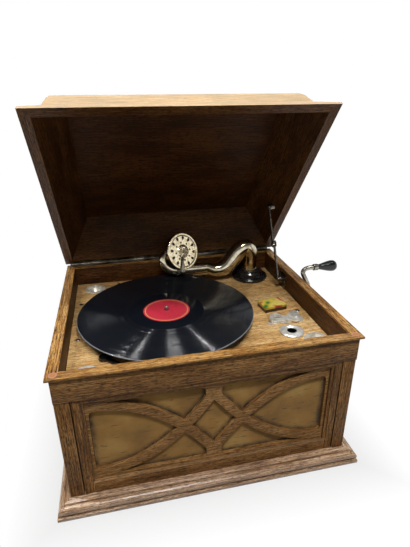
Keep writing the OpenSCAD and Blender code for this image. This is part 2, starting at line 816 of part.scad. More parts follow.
module in_soundbox() {
  translate(box_at) rotate([0, 0, box_turn]) rotate([90 - box_tilt, 0, 0]) children();
}

box_axis = [sin(box_turn) * cos(box_tilt), -cos(box_turn) * cos(box_tilt), sin(box_tilt)];
box_back = box_at - (soundbox_t + 4) * box_axis;
neck_path = [
  [neck_x - joint_gap, arm_axis_y, arm_axis_z, neck_r + 1.8],
  [neck_x - 18, arm_axis_y, arm_axis_z, neck_r + 1.8],
  [neck_x - 35, arm_axis_y, arm_axis_z, neck_r + 1.8],
  [neck_x - 50, arm_axis_y + 0.3, arm_axis_z + 1.5, neck_r + 1.8],
  [neck_x - 63, arm_axis_y + 2, arm_axis_z + 10, neck_r + 1.7],
  [neck_x - 67, arm_axis_y + 5, arm_axis_z + 22.5, neck_r + 1.5],
  [neck_x - 61, arm_axis_y + 8, arm_axis_z + 32, neck_r + 1.2],
  [neck_x - 51, arm_axis_y + 9, arm_axis_z + 35.5, neck_r + 0.9],
  concat(box_back - 6 * box_axis, [neck_r + 0.5]),
  concat(box_back - 3 * box_axis, [neck_r + 0.4]),
  concat(box_back, [neck_r + 0.4])
];

module gooseneck() {
  color(nickel) union() {
    swept_tube(spline(neck_path, 4), 20);
    x_rod(neck_x - joint_gap - 1, neck_x + socket_l - joint_gap, arm_axis_y, arm_axis_z, neck_r);
  }
}

face_t = 3;
bezel = 4;

module soundbox_shell() {
  r = soundbox_r;
  color(nickel) in_soundbox() rotate_extrude($fn = 96)
    polygon([[0, -soundbox_t - 4], [neck_r + 2, -soundbox_t - 4], [neck_r + 3, -soundbox_t],
             [r - 6, -soundbox_t],
             [r - 2, -soundbox_t + 2], [r, -soundbox_t + 5], [r, -face_t], [r - bezel, -face_t],
             [r - bezel, -9], [0, -9]]);
}

hole_count = 12;

module soundbox_face() {
  r = soundbox_r;
  color(nickel) in_soundbox() difference() {
    rotate_extrude($fn = 96) polygon([[0, -face_t], [r, -face_t], [r, -1], [r - 1, 0], [r - bezel, 0],
                                      [r - bezel - 1, -1.2], [14, -1.2], [10, 0.5], [0, 0.5]]);
    for (k = [0:hole_count - 1]) if (k != 8) rotate([0, 0, k * 360 / hole_count])
      translate([r - 10, 0, -face_t - eps]) cylinder(r = 2.8, h = face_t + 2 * eps);
    for (k = [0:7]) rotate([0, 0, k * 45 + 22.5])
      translate([17, 0, -face_t - eps]) cylinder(r = 1.7, h = face_t + 2 * eps);
  }
}

module diaphragm() {
  color("#b9b9b4") in_soundbox() translate([0, 0, -6.5]) cylinder(r = soundbox_r - bezel - 0.3, h = 0.6);
}

// Needle bar over the front, with a chuck that leans the needle along the groove
bar_turn = -22;
chuck_top = concat((soundbox_r + 3.5) * [sin(bar_turn), -cos(bar_turn)], [2]);
needle_tip = [-15.3, -soundbox_r - 9.1, -21.3];
chuck_end = 0.5 * (chuck_top + needle_tip);
screw_at = chuck_top + 0.25 * (needle_tip - chuck_top);
screw_axis = unit(cross(needle_tip - chuck_top, [0, 1, 0]));

// Round bar between two points
module rod_between(a, b, r1, r2) {
  d = b - a;
  translate(a) rotate([0, acos(d.z / norm(d)), atan2(d.y, d.x)]) cylinder(r1 = r1, r2 = r2, h = norm(d));
}

chuck_r = 2.6;
screw_shaft_r = 1;

module needle_bar() {
  color(steel) in_soundbox() difference() {
    union() {
      rotate([0, 0, bar_turn]) translate([-1.6, -soundbox_r + 2, 0.5]) cube([3.2, soundbox_r + 4, 2]);
      rotate([0, 0, bar_turn]) translate([-3.5, -soundbox_r - 5, 0]) cube([7, bezel + 5, 3.5]);
      rod_between(chuck_top, chuck_end, chuck_r, chuck_r);
    }
    rod_between(screw_at - 5 * screw_axis, screw_at + 5 * screw_axis, screw_shaft_r + running_gap,
                screw_shaft_r + running_gap);
  }
}

module needle_screw() {
  color(nickel) in_soundbox() union() {
    rod_between(screw_at - 2 * screw_axis, screw_at + 5 * screw_axis, screw_shaft_r, screw_shaft_r);
    rod_between(screw_at + 4 * screw_axis, screw_at + 8 * screw_axis, 3, 3);
  }
}

module needle() {
  d = needle_tip - chuck_end;
  length = norm(d);
  color(steel) in_soundbox() translate(chuck_end) rotate([0, acos(d.z / length), atan2(d.y, d.x)])
    rotate_extrude() polygon([[0, 0], [0.8, 0], [0.8, length - 4], [0.15, length], [0, length]]);
}

// Deck fittings
module needle_cups() {
  color(nickel) for (site = cup_sites) translate([site.x, site.y, deck_z]) cup_shape(cup_hole - 2);
}

module cup_shape(mouth) {
  depth = 11;
  rotate_extrude() polygon([[0, -depth], [10, -depth], [cup_hole - 2, -depth + 4], [cup_hole, -depth + 8],
                            [cup_hole, 0], [cup_r, 0], [cup_r, 0.8], [cup_r - 1, 1.5], [mouth, 1.5],
                            [cup_hole - 1.5, -depth + 8], [cup_hole - 3.5, -depth + 5], [9, -depth + 1.2],
                            [0, -depth + 1.2]]);
}

module used_needle_cup() {
  hole = 8;
  depth = 14;
  color(nickel) translate([used_cup.x, used_cup.y, deck_z]) rotate_extrude()
    polygon([[0, -depth], [cup_hole, -depth], [cup_hole, 0], [cup_r, 0], [cup_r, 1], [cup_r - 2, 2.5],
             [cup_r - 8, 4], [hole, 2], [hole, 0.8], [cup_r - 8, 2.6], [cup_hole - 1, 1],
             [cup_hole - 1, -depth + 1], [0, -depth + 1]]);
}

plate_rest = 1.2;
speed_t = 2.8;
lever_outline = [[-49.4, 1.3], [-44.9, 11.7], [-40.1, 18.8], [-34, 22.2], [-28.5, 21.6], [-25.2, 15.5],
                 [-20.5, 9.5], [-14, 9.5], [-6.5, 17.5], [0, 22], [7.5, 21.8], [9.6, 17.5], [10.5, 10.4],
                 [6.1, -2.7],
                 [1.1, -12.9], [-4, -15.1], [-9.9, -12.6], [-13.4, -8.2], [-19.6, -7.6], [-31.1, -7.4],
                 [-42.5, -7.1], [-48, -4.8]];
scale_outline = [[-12, -3], [-38.4, -5.1], [-53.3, -2.6], [-55.4, -9.8], [-40.9, -11], [-12, -10]];

module speed_plate() {
  color(nickel) translate([speed_pivot.x, speed_pivot.y, deck_z]) difference() {
    linear_extrude(plate_rest) union() {
      circle(r = 12.5);
      polygon(scale_outline);
    }
    translate([0, 0, -eps]) cylinder(r = stud_r + running_gap, h = 5);
  }
}

// Speed lever: a flat shaped plate with a slot, turned about its stud
module speed_lever() {
  floor = plate_rest + part_gap;
  color(nickel) translate([speed_pivot.x, speed_pivot.y, deck_z]) union() {
    translate([0, 0, floor]) linear_extrude(speed_t) difference() {
      polygon(lever_outline);
      translate([-38.5, 6.4]) rotate([0, 0, -12]) union() {
        translate([0, -1.8]) square([9, 3.6]);
        circle(r = 1.8);
        translate([9, 0]) circle(r = 1.8);
      }
    }
    translate([0, 0, -deck_t - 3]) cylinder(r = stud_r, h = deck_t + 3 + floor + speed_t + 0.8);
    translate([0, 0, floor + speed_t - 0.2]) cylinder(r = stud_r + 1.5, h = 1.4);
  }
}

// Brake: a pad on a pivoted lever that bears on the turntable's rim
brake_reach = 46;

module brake_plate() {
  color(black) difference() {
    translate([brake_pivot.x, brake_pivot.y, deck_z]) cylinder(r = 9, h = 1.5);
    z_rod(brake_pivot.x, brake_pivot.y, deck_z - eps, deck_z + 3, stud_r + running_gap);
  }
}

brake_to = atan2(spindle_y - brake_pivot.y, spindle_x - brake_pivot.x);
brake_span = norm([spindle_x - brake_pivot.x, spindle_y - brake_pivot.y]);
// Reach of the pad's face: clear of the rim at rest, and at the rim when the lever is swung
pad_face = brake_span - platter_r - 1.6;

module brake_lever() {
  z0 = deck_z + 1.5 + part_gap;
  color("#3a3a38") translate([brake_pivot.x, brake_pivot.y, 0]) union() {
    z_rod(0, 0, deck_under - 3, z0 + 5, stud_r);
    z_rod(0, 0, z0, z0 + 3, 8);
    rotate([0, 0, brake_to]) box(0, pad_face - 6, -4, 4, z0, z0 + 2);
    rotate([0, 0, brake_to]) box(pad_face - 7, pad_face, -9, 9, z0, z0 + 9);
    rotate([0, 0, brake_to + 90]) box(-30, 0, -4, 4, z0, z0 + 2);
  }
}

tin_at = [inner_x - 53.4, speed_pivot.y + 49];
tin = [43, 31, 10];
tin_turn = 8;
tin_wall = 0.6;
tin_lid_h = 4;
// Radius of the rolled hinge edge at the back of the tin's lid
tin_roll = 0.9;

module in_tin() {
  translate([tin_at.x, tin_at.y, deck_z]) rotate([0, 0, tin_turn])
    translate([-tin.x / 2, -tin.y / 2, 0]) children();
}

module needle_tin() {
  color("#3a2a20") in_tin() difference() {
    cube([tin.x, tin.y, tin.z - tin_lid_h]);
    translate([tin_wall, tin_wall, tin_wall]) cube([tin.x - 2 * tin_wall, tin.y - 2 * tin_wall, tin.z]);
  }
}

module needle_tin_lid() {
  color("#c9b23c") in_tin() translate([0, 0, tin.z - tin_lid_h + 0.1]) difference() {
    union() {
      cube([tin.x, tin.y, tin_lid_h]);
      x_rod(tin_wall, tin.x - tin_wall, tin.y + tin_roll - 0.2, tin_roll, tin_roll);
    }
    translate([tin_wall, tin_wall, -eps])
      cube([tin.x - 2 * tin_wall, tin.y - 2 * tin_wall, tin_lid_h - tin_wall + eps]);
  }
}

// Lid: drawn shut over the rim, then swung open about the hinge pin
module swung_open() {
  translate([0, hinge_y, hinge_z]) rotate([-lid_open, 0, 0]) translate([0, -hinge_y, -hinge_z]) children();
}

lid_x = half_w + lip_out + 3;
lid_front = -half_d - lip_out - 6;
lid_rear = hinge_y - hinge_back;
lid_z = lip_top + lid_gap;
lid_inner_lean = lid_lean + 0.3;
lid_top_in = lid_lean + 10;
lid_roof = lid_z + lid_wall_h;
// The outside goes up a square lip, in over a flat slope, steeply up and round a shoulder: [inset, height]
lid_steps = [[0, 0], [0.5, 4], [0.66 * lid_lean, 0.46 * lid_wall_h], [0.8 * lid_lean, 0.73 * lid_wall_h],
             [0.92 * lid_lean, 0.86 * lid_wall_h], [1.05 * lid_lean, 0.935 * lid_wall_h],
             [1.24 * lid_lean, lid_wall_h]];

// Frustum of the lid's plan between two heights, each with its own inset
module lid_frustum(in0, z0, in1, z1) {
  sliver = 0.01;
  hull() for (level = [[in0, z0], [in1, z1 - sliver]])
    box(-lid_x + level[0], lid_x - level[0], lid_front + level[0], lid_rear - level[0],
        level[1], level[1] + sliver);
}

function lid_inset(h) = lid_rim_t + lid_inner_lean * h / lid_wall_h;

module lid_walls() {
  color(oak) swung_open() difference() {
    for (i = [0:len(lid_steps) - 2])
      lid_frustum(lid_steps[i][0], lid_z + max(lid_steps[i][1] - 0.01, 0),
                  lid_steps[i + 1][0], lid_z + lid_steps[i + 1][1]);
    lid_frustum(lid_inset(-eps), lid_z - eps, lid_inset(lid_wall_h + eps), lid_roof + eps);
    box(-hinge_l / 2, hinge_l / 2, hinge_y - leaf_w, hinge_y + eps, lid_z - eps, lid_z + leaf_t);
  }
}

module lid_top() {
  color(oak) swung_open()
    box(-lid_x + lid_top_in, lid_x - lid_top_in, lid_front + lid_top_in, lid_rear - lid_top_in,
        lid_roof, lid_roof + lid_top_t);
}

pin_r = 1;
knuckle_l = hinge_l / hinge_count;
knuckle_gap = 0.3;

module knuckles(first) {
  for (i = [first:2:hinge_count - 1]) {
    start = -hinge_l / 2 + i * knuckle_l;
    x_rod(start + knuckle_gap / 2, start + knuckle_l - knuckle_gap / 2, hinge_y, hinge_z, knuckle_r);
  }
}

module hinge_leaf(first, z0, z1) {
  difference() {
    union() {
      knuckles(first);
      difference() {
        box(-hinge_l / 2, hinge_l / 2, hinge_y - leaf_w, hinge_y - 0.2, z0, z1);
        for (i = [1 - first:2:hinge_count - 1])
          x_rod(-hinge_l / 2 + i * knuckle_l - knuckle_gap, -hinge_l / 2 + (i + 1) * knuckle_l + knuckle_gap,
                hinge_y, hinge_z, knuckle_r + part_gap);
      }
    }
    x_rod(-hinge_l / 2 - eps, hinge_l / 2 + eps, hinge_y, hinge_z, pin_r + running_gap);
  }
}

module hinge_leaf_body() {
  color(nickel) hinge_leaf(0, lip_top - leaf_t, lip_top);
}

module hinge_leaf_lid() {
  color(nickel) swung_open() hinge_leaf(1, lid_z, lid_z + leaf_t);
}

module hinge_pin() {
  color(nickel) x_rod(-hinge_l / 2, hinge_l / 2, hinge_y, hinge_z, pin_r);
}

// Folding stay on the right: two links that meet at a knuckle
stay_reach = 128.12;
stay_bearing = 170.13 - lid_open;
stay_low = [hinge_y - 125, hinge_z - 21.4];
stay_knee = [hinge_y - 96, hinge_z + 42.6];
stay_high = [hinge_y, hinge_z] + stay_reach * [cos(stay_bearing), sin(stay_bearing)];
link_t = 2.5;
lower_link_x = inner_x - 13.1;
upper_link_x = lower_link_x - link_t - 0.3;
link_w = 7;
stay_pin = 2;

// Flat bar between two points of the (y, z) plane, with round ends
module flat_link(x, a, b) {
  d = b - a;
  translate([x, a.x, a.y]) rotate([atan2(d.y, d.x), 0, 0]) rotate([90, 0, 90])
    linear_extrude(link_t) union() {
      translate([0, -link_w / 2]) square([norm(d), link_w]);
      circle(r = 0.75 * link_w);
      translate([norm(d), 0]) circle(r = 0.75 * link_w);
    }
}

module stay_bracket() {
  color(nickel) union() {
    difference() {
      union() {
        box(inner_x - 2, inner_x, stay_low.x - 14, stay_low.x + 14, deck_z, stay_low.y + 12);
        x_rod(lower_link_x + link_t + part_gap, inner_x - 1, stay_low.x, stay_low.y, stay_pin + 3);
        x_rod(lower_link_x - 1.2, inner_x - 1, stay_low.x, stay_low.y, stay_pin);
      }
      for (dy = [-10, 10], dz = [8, 24])
        x_rod(inner_x - 2 - eps, inner_x + eps, stay_low.x + dy, deck_z + dz, 1.5);
    }
  }
}

module stay_lower_link() {
  color(nickel) difference() {
    union() {
      flat_link(lower_link_x, stay_low, stay_knee);
      x_rod(lower_link_x + link_t - 0.5, lower_link_x + link_t + 2, stay_knee.x, stay_knee.y, 4);
    }
    x_rod(lower_link_x - eps, lower_link_x + link_t + eps, stay_low.x, stay_low.y, stay_pin + running_gap);
  }
}

// Boss for the upper pivot, cut to the slope of the lid's side wall
module stay_lid_plate() {
  color(nickel) intersection() {
    union() {
      x_rod(upper_link_x - 1.2, lid_x, stay_high.x, stay_high.y, stay_pin);
      x_rod(upper_link_x + link_t + part_gap, lid_x, stay_high.x, stay_high.y, stay_pin + 4);
    }
    swung_open() lid_frustum(lid_inset(0), lid_z, lid_inset(lid_wall_h), lid_roof);
  }
}

// Finger loop that pulls the knuckle over its dead centre
module finger_loop() {
  translate([upper_link_x, stay_knee.x - 8.5, stay_knee.y + 6]) rotate([0, 90, 0]) difference() {
    cylinder(r = 6, h = link_t);
    translate([0, 0, -eps]) cylinder(r = 3.6, h = link_t + 2 * eps);
  }
}

module stay_upper_link() {
  color(nickel) difference() {
    union() {
      flat_link(upper_link_x, stay_knee, stay_high);
      x_rod(upper_link_x - 2, upper_link_x + 0.5, stay_knee.x, stay_knee.y, 4);
      finger_loop();
    }
    x_rod(upper_link_x - eps, upper_link_x + link_t + eps, stay_high.x, stay_high.y, stay_pin + running_gap);
  }
}

plinth();
base_board();
corner_posts();
left_side_panel();
right_side_panel();
back_panel();
top_frame();
rim_lip();
lid_buffers();
grille_frame();
fretwork();
grille_cloth();
horn();
horn_throat();
deck_battens();
motor_board();
deck_screws();
motor_top_plate();
motor_pillars();
motor_base_plate();
motor_bearings();
spindle();
platter();
platter_felt();
record();
record_label();
spring_barrel();
mainspring();
winding_arbor();
governor();
crank_handle();
crank_grip();
crank_escutcheon();
tonearm_base();
tonearm_riser();
tonearm_tube();
gooseneck();
soundbox_shell();
soundbox_face();
diaphragm();
needle_bar();
needle_screw();
needle();
needle_cups();
used_needle_cup();
speed_plate();
speed_lever();
brake_plate();
brake_lever();
needle_tin();
needle_tin_lid();
lid_walls();
lid_top();
hinge_leaf_body();
hinge_leaf_lid();
hinge_pin();
stay_bracket();
stay_lower_link();
stay_lid_plate();
stay_upper_link();
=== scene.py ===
# %% [markdown]
# # A table gramophone, dressed in Blender
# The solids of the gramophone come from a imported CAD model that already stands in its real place, in metres.
# This lesson loads that model as a fixed frame and then gives every surface the finish of the real thing.
# Some solids are replaced by finer surfaces that are worked out with numpy.

# %% Load the frame
import json
import math
import bpy
import bmesh
import numpy as np
from mathutils import Matrix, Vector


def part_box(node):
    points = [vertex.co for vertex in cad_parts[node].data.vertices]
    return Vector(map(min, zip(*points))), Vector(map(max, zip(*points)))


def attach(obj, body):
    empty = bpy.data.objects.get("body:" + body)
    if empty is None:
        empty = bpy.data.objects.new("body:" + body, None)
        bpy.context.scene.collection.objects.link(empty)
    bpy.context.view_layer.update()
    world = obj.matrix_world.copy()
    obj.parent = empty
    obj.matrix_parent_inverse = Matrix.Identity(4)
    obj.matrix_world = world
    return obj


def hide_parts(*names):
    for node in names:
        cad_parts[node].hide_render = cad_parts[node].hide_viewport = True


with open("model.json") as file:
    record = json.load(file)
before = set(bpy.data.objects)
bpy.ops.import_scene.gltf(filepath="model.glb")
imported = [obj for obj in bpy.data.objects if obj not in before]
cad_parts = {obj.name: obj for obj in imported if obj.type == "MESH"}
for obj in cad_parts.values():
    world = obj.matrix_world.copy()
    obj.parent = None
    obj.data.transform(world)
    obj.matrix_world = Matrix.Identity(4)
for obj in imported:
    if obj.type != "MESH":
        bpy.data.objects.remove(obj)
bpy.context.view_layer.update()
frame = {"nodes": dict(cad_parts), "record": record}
nodes = frame["nodes"]
carrier = {name: body for body, names in frame["record"]["behaviour"]["bodies"].items() for name in names}
MM = 0.001  # metres

# %% [markdown]
# ## Camera
# The camera was found by fitting straight edges of the cabinet in the photograph.
# Its three axes are written out, so the frame has no lens shift and can be checked by hand.

# %% Camera
PHOTO_HEIGHT = 547  # pixels along the longer side, which the sensor's width spans
FOCAL_LENGTH = 414.1166  # pixels
SENSOR_WIDTH = 36.0  # millimetres

camera_data = bpy.data.cameras.new("photo_camera")
camera_data.sensor_fit = "AUTO"
camera_data.sensor_width = SENSOR_WIDTH
camera_data.lens = FOCAL_LENGTH / PHOTO_HEIGHT * SENSOR_WIDTH
camera_data.clip_start = 0.05
camera_data.clip_end = 50.0
camera = bpy.data.objects.new("photo_camera", camera_data)
bpy.context.collection.objects.link(camera)
right = np.array([0.97583411, -0.21839128, -0.00728292])
up = np.array([0.09347641, 0.38708921, 0.91729172])
toward = np.array([0.19750938, 0.89580533, -0.39814928])
camera_at = np.array([-0.11407046, -0.64073354, 0.55629325])
pose = np.eye(4)
pose[:3, 0], pose[:3, 1], pose[:3, 2], pose[:3, 3] = right, up, -toward, camera_at
camera.matrix_world = Matrix(pose.tolist())
bpy.context.scene.camera = camera
bpy.context.scene.view_settings.view_transform = "Standard"
print("camera at", camera_at)

# %% [markdown]
# ## Small tools for materials
# Colours are written as sRGB hex values, as a paint chip would be, and turned to linear light in one place.
# One helper adds a shader node, sets its values and makes its links.
# The model is in metres, so a pattern with features of s millimetres has a scale of 1000 / s.

# %% Colour and node helpers
def linear(hex_colour):
    """Each channel c becomes c / 12.92 below 0.04045, and ((c + 0.055) / 1.055) to the power 2.4 above it."""
    c = np.array([int(hex_colour[i:i + 2], 16) for i in (1, 3, 5)]) / 255.0
    c = np.where(c <= 0.04045, c / 12.92, ((c + 0.055) / 1.055) ** 2.4)
    return (float(c[0]), float(c[1]), float(c[2]), 1.0)


def add(tree, kind, inputs=None, **settings):
    """Adds one node; inputs maps a socket's name or number to a value, or to a socket to link."""
    node = tree.nodes.new("ShaderNode" + kind)
    for key, value in settings.items():
        setattr(node, key, value)
    for key, value in (inputs or {}).items():
        if isinstance(value, bpy.types.NodeSocket):
            tree.links.new(value, node.inputs[key])
        else:
            node.inputs[key].default_value = value
    return node


def new_finish(name, **values):
    """A material with an empty tree and one Principled shader; values go straight on the shader's sockets."""
    material = bpy.data.materials.new(name)
    material.use_nodes = True
    tree = material.node_tree
    tree.nodes.clear()
    shader = add(tree, "BsdfPrincipled", {key.replace("_", " "): value for key, value in values.items()})
    add(tree, "OutputMaterial", {"Surface": shader.outputs["BSDF"]})
    return material, tree, shader


def ramp(tree, factor, *stops):
    """A colour ramp whose stops are (place, hex colour) pairs."""
    node = add(tree, "ValToRGB", {"Fac": factor})
    while len(node.color_ramp.elements) < len(stops):
        node.color_ramp.elements.new(0.5)
    for element, (place, colour) in zip(node.color_ramp.elements, stops):
        element.position = place
        element.color = linear(colour)
    return node


def feed(shader, **sockets):
    """Links each socket to the shader's input of that name."""
    for key, socket in sockets.items():
        shader.id_data.links.new(socket, shader.inputs[key.replace("_", " ")])


def dress(material, *node_names):
    """Gives CAD solids their finish by filling all their material slots."""
    for node_name in node_names:
        mesh = nodes[node_name].data
        mesh.materials.clear()
        mesh.materials.append(material)


print("helpers ready")

# %% [markdown]
# ## Oak
# The cabinet is fumed and stained oak. Its look comes from three things: slow changes of tone along a board,
# bands of growth across it, and short dark pores that run with the fibre.
# The pattern lies on a UV map called grain, where u runs along the fibre and v across it, both in metres.
# Pores are about 0.3 mm wide on the real board. Here the short ones are 0.8 mm and the long ones 1.3 mm wide,
# or the render would not show them.
# Faces marked inside are darker: partly a darker stain, partly painted shade in hollows, gaps and undersides.
# Faces given the pale mark are lighter: painted light where the light falls on them, with a little dust on the
# sills.

# %% Oak finish
STAIN_AND_SHADE = (0.31, 0.235, 0.175)  # the share of red, green and blue that the darker stain and the painted shade leave together
# The pale colour that painted light gives the lid's outer front and the sills
PAINTED_LIGHT_OAK = "#f2d9b2"


def stretched(tree, grain, along, across, **values):
    """Noise on the grain map, with features of along x across millimetres."""
    at = add(tree, "Mapping", {"Vector": grain, "Scale": (1000 / along, 1000 / across, 1)})
    return add(tree, "TexNoise", {"Vector": at.outputs[0], "Scale": 1.0, **values}).outputs["Fac"]


def oak(name, dark, middle, light, roughness=0.42, worn="#c09a68", pore="#23140a",
        bands=2.4, gloss=0.14, coat=0.0):
    """Tone is 0.62 x growth bands + 0.38 x slow drift, and pores are noise past a threshold.

    Worn edges, inner faces and pale faces are mixed in by three face attributes: wear with a painted highlight
    on the edges, a darker stain with painted shade inside, and painted light with a little dust on the pale
    faces.
    """
    material, tree, shader = new_finish(name, Specular_IOR_Level=gloss, Coat_Weight=coat, Coat_Roughness=0.26)
    grain = add(tree, "UVMap", uv_map="grain").outputs["UV"]
    slow = stretched(tree, grain, 140, 34, Detail=3.0, Roughness=0.5)
    band = stretched(tree, grain, 46, bands, Detail=5.0, Roughness=0.62, Distortion=0.25)
    fine = stretched(tree, grain, 8, 0.8, Detail=2.0)
    long_pores = stretched(tree, grain, 22, 1.3, Detail=3.0, Roughness=0.6)
    drift = add(tree, "Math", {0: slow, 1: 0.38}, operation="MULTIPLY")
    tone = add(tree, "Math", {0: band, 1: 0.62, 2: drift.outputs[0]}, operation="MULTIPLY_ADD")
    colour = ramp(tree, tone.outputs[0], (0.4, dark), (0.5, middle), (0.6, light))
    small = add(tree, "MapRange", {"Value": fine, "From Min": 0.52, "From Max": 0.6, "To Max": 0.8})
    large = add(tree, "MapRange", {"Value": long_pores, "From Min": 0.55, "From Max": 0.61, "To Max": 0.85})
    pore_mask = add(tree, "Math", {0: small.outputs[0], 1: large.outputs[0]}, operation="MAXIMUM")
    pored = add(tree, "Mix", {"Factor": pore_mask.outputs[0], 6: colour.outputs[0], 7: linear(pore)},
                data_type="RGBA")
    # Pale edges: wear where the rub pattern allows, partly a painted highlight along the eased edges.
    edge = add(tree, "Attribute", attribute_name="edge")
    rub = stretched(tree, grain, 16, 6, Detail=3.0)
    rubbed = add(tree, "MapRange", {"Value": rub, "From Min": 0.36, "From Max": 0.6, "To Max": 0.75})
    worn_and_lit_edge = add(tree, "Math", {0: edge.outputs["Fac"], 1: rubbed.outputs[0]}, operation="MULTIPLY")
    aged = add(tree, "Mix", {"Factor": worn_and_lit_edge.outputs[0], 6: pored.outputs[2], 7: linear(worn)},
               data_type="RGBA")
    # Painted shade, with a darker stain: faces marked inside are darkened.
    stain_shade_mark = add(tree, "Attribute", attribute_name="inside")
    stained = add(tree, "VectorMath", {0: aged.outputs[2], 1: STAIN_AND_SHADE}, operation="MULTIPLY")
    stained_and_shaded = add(tree, "Mix", {"Factor": stain_shade_mark.outputs["Fac"], 6: aged.outputs[2], 7: stained.outputs[0]},
                 data_type="RGBA")
    # Painted light: faces given the pale mark turn towards the pale colour in patches, where the light falls
    # on them.
    light_mark = add(tree, "Attribute", attribute_name="painted_light_and_dust")
    patchy = add(tree, "MapRange", {"Value": band, "From Min": 0.35, "From Max": 0.65,
                                    "To Min": 0.62, "To Max": 1.0})
    lit_share = add(tree, "Math", {0: light_mark.outputs["Fac"], 1: patchy.outputs[0]}, operation="MULTIPLY")
    final = add(tree, "Mix", {"Factor": lit_share.outputs[0], 6: stained_and_shaded.outputs[2], 7: linear(PAINTED_LIGHT_OAK)},
                data_type="RGBA")
    rough = add(tree, "MapRange", {"Value": slow, "To Min": roughness - 0.1, "To Max": roughness + 0.14})
    height = add(tree, "Math", {0: band, 1: pore_mask.outputs[0]}, operation="SUBTRACT")
    bump = add(tree, "Bump", {"Height": height.outputs[0], "Strength": 0.35, "Distance": 0.0005})
    feed(shader, Base_Color=final.outputs[2], Roughness=rough.outputs[0], Normal=bump.outputs[0])
    return material


# %% [markdown]
# ## Six oak finishes
# All the wood is oak, but stain, wax and wear make it look like six kinds.

# %% Oak colours
# A dark stain under dull wax: brown, with close and uneven bands
oak_case = oak("stained_oak_case", "#64411f", "#986a3a", "#c4945c", bands=1.6)
# The same stain on thin bars, a little lighter and with softer pores
oak_fret = oak("stained_oak_fret", "#8c623a", "#b0824c", "#cc9e66", pore="#4a2e18")
# Rubbed pale by dusters and lightened further as a painted highlight, with polish that shows a soft streak of
# light
oak_foot = oak("rubbed_and_lit_oak_plinth", "#8c6848", "#c49a72", "#ecccaa", roughness=0.3, pore="#4a2f1a",
               worn="#ecd8be", gloss=0.3, coat=1.0)
# Handled each time the lid is opened, so it is warm, and its edges are pale with wear and a painted highlight
oak_rim = oak("stained_oak_rim", "#75491f", "#b07d40", "#d8ac6c", worn="#ead0a6")
# Waxed and not stained: yellow, with broad bands
oak_deck = oak("waxed_oak_motor_board", "#b58c56", "#dcb070", "#f2ce94", roughness=0.4, pore="#7a5430",
               bands=4.0)
# Bare wood that has gone dark and dull inside the case
oak_inside = oak("dark_oak_inside", "#3a2212", "#4a2d18", "#5a3820", roughness=0.55)
print("six oak finishes")

# %% [markdown]
# ## Grain
# A board's figure follows its fibre, so the pattern needs a direction on every face.
# Each face is asked for its fibre, and its corners are projected on that line and on the line across it.
# The same pass marks the faces that the oak finish shows darker or faded.

# %% Grain map
def shade_by_angle(mesh, degrees=32.0):
    """Smooth shading, with every edge sharper than the angle kept hard."""
    mesh.polygons.foreach_set("use_smooth", np.ones(len(mesh.polygons), dtype=bool))
    mesh.set_sharp_from_angle(angle=math.radians(degrees))


def read(items, name, width=1, kind=float):
    """One value of every item of a mesh as an array, with width columns."""
    values = np.zeros(len(items) * width, dtype=kind)
    items.foreach_get(name, values)
    return values.reshape(-1, width) if width > 1 else values


def lay_grain(mesh, fibre, shut, offset, inside=None, painted_light_and_dust=None):
    """u = point along fibre, v = point along (normal x fibre), each moved by the board's own offset.

    fibre(centres, normals) gives each face its direction and a shift. The two mark tests give each face
    a share from 0 to 1, kept in attributes named as the arguments: the first for stain and painted shade,
    the second for painted light. shut is as for eased.
    """
    count = len(mesh.polygons)
    points = read(mesh.vertices, "co", 3)
    centres, normals = read(mesh.polygons, "center", 3), read(mesh.polygons, "normal", 3)
    totals = read(mesh.polygons, "loop_total", kind=np.int32)
    corner = read(mesh.loops, "vertex_index", kind=np.int32)
    if shut is not None:
        points = (points - shut[1]) @ shut[0].T
        centres = (centres - shut[1]) @ shut[0].T
        normals = normals @ shut[0].T
    for label, test in (("inside", inside), ("painted_light_and_dust", painted_light_and_dust)):
        marks = test(centres, normals) if test else np.zeros(count)
        mesh.attributes.new(label, "FLOAT", "FACE").data.foreach_set("value", marks.astype(np.float32))
    along, shift = fibre(centres, normals)
    across = np.cross(normals, along)
    size = np.linalg.norm(across, axis=1, keepdims=True)
    across = np.where(size > 0.3, across / np.maximum(size, 1e-9), np.roll(along, 1, axis=1))
    face = np.repeat(np.arange(count), totals)
    p = points[corner]
    uv = np.stack([np.sum(p * along[face], axis=1) + shift[face] + offset,
                   np.sum(p * across[face], axis=1) + 3 * shift[face] + 2 * offset], axis=1)
    layer = mesh.uv_layers.new(name="grain")
    layer.data.foreach_set("uv", uv.astype(np.float32).ravel())


# %% [markdown]
# ## Boards with eased edges
# A joiner takes the sharp corner off every board with sandpaper, and years of hands do the rest.
# Each wooden solid is copied, its doubles are merged and its sharp edges are bevelled by 0.6 to 2.5 mm.
# The bevel's faces are marked in an attribute, which the oak finish reads to show wear and a painted highlight
# on the edges.

# %% Eased boards
SAME_POINT = 1e-6  # metres, below which two points are one
FLAT_ANGLE = math.radians(1.0)  # faces that meet at less than this are joined
SHARP_ANGLE = math.radians(35)  # edges that turn by more than this are eased
LETTER_SHIFT = 0.0137  # metres of grain for each unit of a letter's code, so that boards differ in figure


